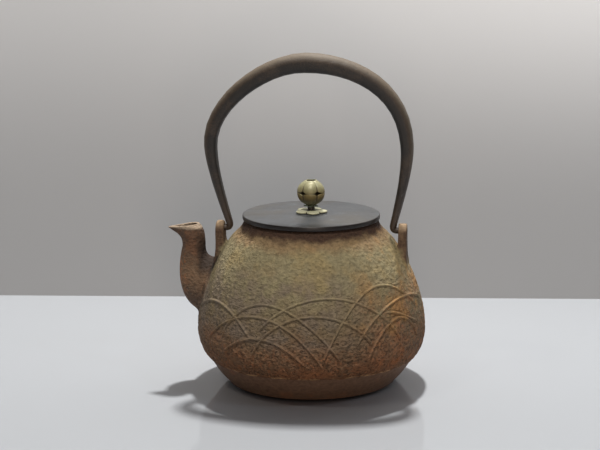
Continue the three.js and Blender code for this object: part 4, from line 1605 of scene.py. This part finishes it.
@dataclass
class Lid:
    """The lid: a slightly domed plate with a rounded edge, and the collar that drops into the mouth."""

    radius: float = 50.0 * MM
    under: float = 121.0 * MM
    thickness: float = 3.5 * MM
    dome: float = 0.8 * MM
    edge: float = 0.8 * MM
    collar_radius: float = 41.5 * MM
    collar_wall: float = 3.0 * MM
    collar_depth: float = 7.2 * MM
    hole_radius: float = 2.15 * MM

    @property
    def top(self) -> float:
        """The height of the middle of the lid's top."""
        return self.under + self.thickness + self.dome

    def profile(self) -> Array:
        """The half section as (radius, height), from the stem's hole under the lid round to its top."""
        inside = self.collar_radius - self.collar_wall
        foot = self.under - self.collar_depth
        soft = 0.5 * MM
        corner = np.linspace(0.0, np.pi / 2, 6)
        shoulder = self.under + self.thickness
        fall = np.linspace(1.0, self.hole_radius / (self.radius - self.edge), 40)
        return np.concatenate(
            [
                [(self.hole_radius, self.under), (inside / 2, self.under), (inside, self.under)],
                [(inside, foot + soft), (inside + soft, foot), (self.collar_radius - soft, foot)],
                [(self.collar_radius, foot + soft), (self.collar_radius, self.under)],
                [(self.radius - 3 * MM, self.under)],
                np.stack(
                    [
                        self.radius - self.edge + self.edge * np.sin(corner),
                        self.under + self.edge - self.edge * np.cos(corner),
                    ],
                    axis=1,
                ),
                np.stack(
                    [
                        self.radius - self.edge + self.edge * np.cos(corner),
                        shoulder - self.edge + self.edge * np.sin(corner),
                    ],
                    axis=1,
                ),
                np.stack(
                    [(self.radius - self.edge) * fall, shoulder + self.dome * (1 - fall**2)],
                    axis=1,
                )[1:],
            ]
        )

    def build(self) -> None:
        """Makes the lid by turning its profile, with a faint hand-scraped unevenness on the top."""
        angle = np.linspace(0.0, 2 * np.pi, 256, endpoint=False)
        profile = self.profile()
        grid = turned(profile, angle)
        on_top = (profile[:, 1] > self.under + self.thickness - 0.1 * MM)[:, None]
        grid[..., 2] += 0.06 * MM * cloud(grid / (15 * MM), 31) * on_top
        finish = BronzeFinish(edge_height=self.under + self.thickness - self.edge, edge_radius=self.radius)
        dress(make_piece("lid_plate", grid, tube=True), "lid", finish.material(), ["lid"])


@dataclass
class Knob:
    """The knob: a hollow ball of five upper and five lower petals on a stem, over a flower seat."""

    lid: Lid
    radius: float = 10.2 * MM
    centre_rise: float = 15.1 * MM
    squash: Pair = (0.89, 0.94)
    wall: float = 0.9 * MM
    top_hole: float = 3.3 * MM
    petals: int = 5
    groove: float = 0.13
    lozenge: float = 0.19
    stem_radius: float = 1.8 * MM
    loose: float = 0.35 * MM
    gap: float = 0.3 * MM
    seat_reach: float = 11.9 * MM
    seat_petal_radius: float = 4.6 * MM
    seat_thickness: float = 1.2 * MM
    seat_dome: float = 0.55 * MM
    seat_turn: float = 17.5
    calyx_reach: float = 5.6 * MM
    calyx_notch: float = 2.9 * MM
    calyx_thickness: float = 0.9 * MM
    calyx_dome: float = 0.1 * MM
    calyx_drop: float = 0.8 * MM

    @property
    def centre(self) -> float:
        """The height of the ball's centre."""
        return self.lid.top + self.centre_rise

    def petal_shell(self, name: str, side: int, hole: float) -> bpy.types.Object:
        """Half of the ball.

        The distance from a petal's ray, 0 on it and 1 between two petals, draws the surface in by the
        groove and lifts the half's edge by the lozenge, so that four petals leave one opening.

        Args:
            name: the piece's name.
            side: 1 for the upper petals and -1 for the lower ones.
            hole: the radius of the opening at the pole.

        Returns:
            The piece, marked where it is hollow.
        """
        columns, outer_rows, inner_rows, edge_rows = self.petals * 44, 34, 12, 5
        turn = -np.pi / 2 + 2 * np.pi * np.arange(columns) / columns
        off = 1 - np.abs(np.cos(self.petals / 2 * (turn + np.pi / 2)))
        edge = self.gap / 2 / self.radius + self.lozenge * off**1.6
        t_out, t_in = np.linspace(0, 1, outer_rows), np.linspace(1, 0, inner_rows)
        lip = np.linspace(0, 1, edge_rows + 2)[1:-1]
        t = np.concatenate([t_out, np.ones(edge_rows), t_in, np.zeros(edge_rows)])
        depth = np.concatenate([np.zeros(outer_rows), lip, np.ones(inner_rows), 1 - lip])
        radius = self.radius - self.wall * depth
        pole = np.arccos(hole / radius)
        latitude = edge[None, :] + (pole[:, None] - edge[None, :]) * t[:, None]
        drawn = self.groove * off[None, :] ** 1.3 * (1 - t[:, None] ** 4)
        puff = 0.02 * np.sin(np.pi * t)[:, None] * (1 - off[None, :])
        shape = radius[:, None] * (1 - drawn + puff)
        flat = shape * np.cos(latitude) ** 0.92
        squash = self.squash[0] if side > 0 else self.squash[1]
        height = self.centre + side * squash * radius[:, None] * np.sin(latitude)
        grid = np.stack([flat * np.cos(turn), flat * np.sin(turn), height], axis=-1)
        grid[..., 2] += side * 0.35 * MM * np.exp(-(((t[:, None] - 0.93) / 0.07) ** 2)) * (1 - off)[None, :]
        # The hollow mark: the grooves between the petals and the inside, which the finish paints dark as
        # shade.
        hollow = np.maximum(off[None, :] ** 2.2 * (1 - 0.5 * t[:, None]), depth[:, None] * 0.9)
        return make_piece(name, grid, tube=True, marks={"hollow": hollow})

    def flower(
        self,
        name: str,
        turn: Array,
        reach: Array,
        under: float,
        thickness: float,
        dome: float,
    ) -> bpy.types.Object:
        """A flat flower with rounded edges and a hole for the stem.

        Args:
            name: the piece's name.
            turn: the angles.
            reach: the outline's radius at each angle.
            under: the height of its underside.
            thickness: its thickness at the edge.
            dome: how far the petals rise above the edge.

        Returns:
            The piece, marked where two petals meet.
        """
        hole = self.stem_radius + self.loose
        under_rows, edge_rows, top_rows = 5, 9, 19
        corner = np.linspace(-np.pi / 2, np.pi / 2, edge_rows)
        outwards, inwards = np.linspace(0, 1, under_rows + 1)[:-1], np.linspace(1, 0, top_rows + 1)[1:]
        across = np.concatenate([outwards, np.ones(edge_rows), inwards])
        edge = thickness / 2
        inset = np.concatenate([np.ones(under_rows), 1 - np.cos(corner), np.ones(top_rows)]) * edge
        height = np.concatenate([-np.ones(under_rows), np.sin(corner), np.ones(top_rows)]) * edge
        outline = hole + (reach[None, :] - hole) * across[:, None] - (inset * across)[:, None]
        valley = 1 - (reach - reach.min()) / max(float(np.ptp(reach)), 1e-9)
        upper = np.concatenate([np.zeros(under_rows + edge_rows), np.sin(np.pi * inwards) ** 0.8])
        rise = dome * upper[:, None] * (1 - 0.9 * valley[None, :] ** 1.5)
        z = under + edge + height[:, None] + rise
        grid = np.stack([outline * np.cos(turn), outline * np.sin(turn), z], axis=-1)
        # The hollow mark, which the finish paints dark as shade: the notches between the petals and the ring
        # round the stem's hole.
        towards_edge, towards_hole = smooth(0.35, 0.9, across), smooth(0.35, 0.1, across)
        hollow = valley[None, :] ** 3 * towards_edge[:, None] + towards_hole[:, None]
        return make_piece(name, grid, tube=True, marks={"hollow": np.clip(hollow, 0, 1)})

    def seat_outline(self, turn: Array) -> Array:
        """The radius of five round petals whose circles meet in notches."""
        distance = self.seat_reach - self.seat_petal_radius
        pitch = 2 * np.pi / self.petals
        away = (turn + np.pi / 2 - math.radians(self.seat_turn) + pitch / 2) % pitch - pitch / 2
        root = np.sqrt(np.clip(self.seat_petal_radius**2 - (distance * np.sin(away)) ** 2, 0, None))
        return distance * np.cos(away) + root

    def calyx_outline(self, turn: Array) -> Array:
        """The radius of a five-pointed star with hollow sides."""
        pitch = 2 * np.pi / self.petals
        away = np.abs((turn + np.pi / 2) % pitch - pitch / 2) / (pitch / 2)
        return self.calyx_notch + (self.calyx_reach - self.calyx_notch) * away**1.7

    def build(self) -> None:
        """Makes and dresses the petals, calyx and seat, and gives the stem and washer their finish."""
        turn = np.linspace(0.0, 2 * np.pi, 240, endpoint=False)
        stem_hole = self.stem_radius + self.loose
        ball_finish = PaleBrassFinish(
            ochre_height=self.centre - 1.5 * MM,
            brown_height=self.centre - 3.5 * MM,
        )
        seat_finish = PaleBrassFinish(
            name="flower_seat_patina",
            cream=Colour(180, 178, 148),
            ochre=Colour(150, 142, 106),
        )
        calyx_finish = PaleBrassFinish(
            name="calyx_patina",
            cream=Colour(118, 130, 116),
            ochre=Colour(104, 104, 84),
        )
        stem_finish = BronzeFinish(
            name="dark_bronze",
            patina=Colour(58, 52, 46),
            warm=Colour(70, 58, 46),
        )
        ball, brass = ball_finish.material(), Slot.PALE_BRASS
        upper = self.petal_shell("upper_petals", 1, self.top_hole)
        lower = self.petal_shell("lower_petals", -1, stem_hole)
        dress(upper, "knob", ball, ["knob_upper_petals"])
        dress(lower, "knob", ball, ["knob_lower_petals"])
        seat = self.flower(
            "flower_seat",
            turn,
            self.seat_outline(turn),
            self.lid.top + self.gap,
            self.seat_thickness,
            self.seat_dome,
        )
        dress(seat, "lid", seat_finish.material(), ["knob_seat"])
        low_pole = self.centre - self.squash[1] * math.sqrt(self.radius**2 - stem_hole**2)
        calyx = self.flower(
            "calyx",
            turn,
            self.calyx_outline(turn),
            low_pole - self.gap - self.calyx_drop,
            self.calyx_thickness,
            self.calyx_dome,
        )
        dress(calyx, "knob", calyx_finish.material(), ["knob_calyx"])
        dark = stem_finish.material()
        for node in ("knob_stem", "stem_washer"):
            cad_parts[node].data.materials.clear()
            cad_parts[node].data.materials.append(dark)


# The studio


@dataclass(frozen=True)
class Lamp:
    """A flat, square lamp that faces the kettle.

    Its heading is in degrees from +X towards +Y, its rise in degrees above the table, and its power in
    watts.
    """

    name: str
    heading: float
    rise: float
    size: float
    power: float
    colour: Colour
    lights_table: bool = True
    away: float = 2.0
    aim_height: float = 60.0 * MM

    def hang(self) -> None:
        """Hangs the lamp, and takes the table out of what it lights where that is asked for."""
        data = bpy.data.lights.new(self.name, "AREA")
        data.shape = "SQUARE"
        data.size = self.size
        data.energy = self.power
        data.color = self.colour.linear()[:3]
        piece = bpy.data.objects.new(self.name, data)
        turn, up = math.radians(self.heading), math.radians(self.rise)
        aim = Vector((math.cos(turn) * math.cos(up), math.sin(turn) * math.cos(up), math.sin(up)))
        place = aim * self.away + Vector((0.0, 0.0, self.aim_height))
        piece.matrix_world = Matrix.Translation(place) @ aim.to_track_quat("Z", "Y").to_matrix().to_4x4()
        bpy.context.scene.collection.objects.link(piece)
        if not self.lights_table:
            kept_dark = bpy.data.collections.new(f"{self.name}_leaves_out")
            kept_dark.objects.link(bpy.data.objects["table"])
            kept_dark.collection_objects[0].light_linking.link_state = "EXCLUDE"
            piece.light_linking.receiver_collection = kept_dark


@dataclass
class Studio:
    """The camera of the photograph, a pale table, a grey wall, four lamps above and one low in front."""

    focal_pixels: float = 1880.0
    frame_pixels: float = 600.0
    sensor_width: float = 36.0
    pitch: float = 0.2036036
    yaw: float = -0.1162975
    roll: float = -0.0038802
    distance: float = 1368.742 * MM
    aim_height: float = 115.825 * MM
    centre_shift_pixels: float = 11.2457
    table_reach: float = 6.0
    wall_distance: float = 250.0 * MM
    wall_turn: float = 2.4
    wall_half_width: float = 2.5
    wall_height: float = 0.9
    table: Colour = Colour(214, 219, 226)
    wall: Colour = Colour(168, 168, 169)
    wall_painted_light: Colour = Colour(252, 252, 253)
    haze: Colour = Colour(236, 240, 246)
    haze_strength: float = 0.04
    lamps: tuple[Lamp, ...] = (
        Lamp("lamp_behind", 90.0, 67.0, 0.12, 37.0, Colour(255, 252, 247)),
        Lamp("lamp_left", -140.0, 57.0, 0.1, 1.8, Colour(255, 244, 230)),
        Lamp("lamp_right", -26.0, 50.0, 0.12, 1.3, Colour(236, 245, 255)),
        Lamp("lamp_front", -84.0, 65.0, 0.2, 28.5, Colour(255, 252, 247), lights_table=False),
        Lamp("lamp_low", -80.0, 6.0, 0.5, 6.2, Colour(255, 236, 220), lights_table=False),
    )

    def camera(self) -> None:
        """Sets the camera: it looks along the view line, rolled by the photograph's own small roll."""
        sin_p, cos_p = math.sin(self.pitch), math.cos(self.pitch)
        sin_y, cos_y = math.sin(self.yaw), math.cos(self.yaw)
        ahead = Vector((cos_p * sin_y, cos_p * cos_y, -sin_p))
        right = Vector((cos_y, -sin_y, 0.0))
        up = Vector((sin_p * sin_y, sin_p * cos_y, cos_p))
        sin_r, cos_r = math.sin(self.roll), math.cos(self.roll)
        across, above = right * cos_r + up * sin_r, up * cos_r - right * sin_r
        data = bpy.data.cameras.new("camera")
        data.sensor_width = self.sensor_width
        data.lens = self.focal_pixels / self.frame_pixels * self.sensor_width
        data.shift_x = -self.centre_shift_pixels / self.frame_pixels
        data.clip_end = 20.0
        camera = bpy.data.objects.new("camera", data)
        turn = Matrix((across, above, -ahead)).transposed().to_4x4()
        place = Vector((0.0, 0.0, self.aim_height)) - ahead * self.distance
        camera.matrix_world = Matrix.Translation(place) @ turn
        bpy.context.scene.collection.objects.link(camera)
        bpy.context.scene.camera = camera

    def plane(self, name: str, corners: Sequence[Sequence[float]]) -> bpy.types.Object:
        """A flat quad that isn't part of the object."""
        piece = add_mesh(name, np.array(corners, float), [(0, 1, 2, 3)])
        return piece

    def set_table(self) -> None:
        """A pale table with a soft gloss, in which the kettle's foot is faintly mirrored."""
        paint = Paint("table")
        material = paint.finish(Base_Color=self.table, Roughness=0.07, Specular_IOR_Level=0.5)
        reach = self.table_reach
        corners = [(-reach, -reach, 0), (reach, -reach, 0), (reach, reach, 0), (-reach, reach, 0)]
        piece = self.plane("table", corners)
        piece.data.materials.append(material)

    def set_wall(self) -> None:
        """A matt wall behind the table, painted lighter towards its top right as a pool of light, which is
        seen from its front only.
        """
        paint = Paint("wall")
        x, _, z = paint.axes()
        # Painted light: the wall is lighter towards its top and right.
        climb, to_right = z.step(0.0, 300.0), x.step(-300.0, 300.0)
        lighter = climb * climb * (0.45 + to_right * 0.55)
        material = paint.finish(
            Base_Color=paint.blend(self.wall, self.wall_painted_light, lighter),
            Roughness=0.9,
        )
        paint.show_front_only()
        heading = self.yaw + math.radians(self.wall_turn)
        back = Vector((math.sin(heading), math.cos(heading), 0.0))
        side = Vector((math.cos(heading), -math.sin(heading), 0.0))
        middle = Vector((math.sin(self.yaw), math.cos(self.yaw), 0.0)) * self.wall_distance
        half, height = side * self.wall_half_width, Vector((0.0, 0.0, self.wall_height))
        left, right = middle - half, middle + half
        piece = self.plane("wall", [left, right, right + height, left + height])
        if piece.data.polygons[0].normal.dot(back) > 0:
            piece.data.flip_normals()
        piece.data.materials.append(material)
        piece.visible_shadow = False

    def build(self) -> None:
        """Sets the camera, the stage, the lamps and the world."""
        self.camera()
        self.set_table()
        self.set_wall()
        for lamp in self.lamps:
            lamp.hang()
        world = bpy.data.worlds.new("world")
        bpy.context.scene.world = world
        world.use_nodes = True
        background = next(n for n in world.node_tree.nodes if n.type == "BACKGROUND")
        background.inputs["Color"].default_value = self.haze.linear()
        background.inputs["Strength"].default_value = self.haze_strength
        bpy.context.scene.view_settings.view_transform = "Standard"


def main() -> None:
    """Builds the studio and the kettle, from its casting to its knob."""
    logging.basicConfig(level=logging.INFO, format="%(name)s: %(message)s")
    Studio().build()
    shell = KettleShell()
    shell.build()
    Grass(shell).build()
    Spout(shell).build()
    Ear(shell, -1, edge=1.7 * MM).build()
    Ear(shell, 1).build()
    Bail().build()
    lid = Lid()
    lid.build()
    Knob(lid).build()


if __name__ == "__main__":
    main()
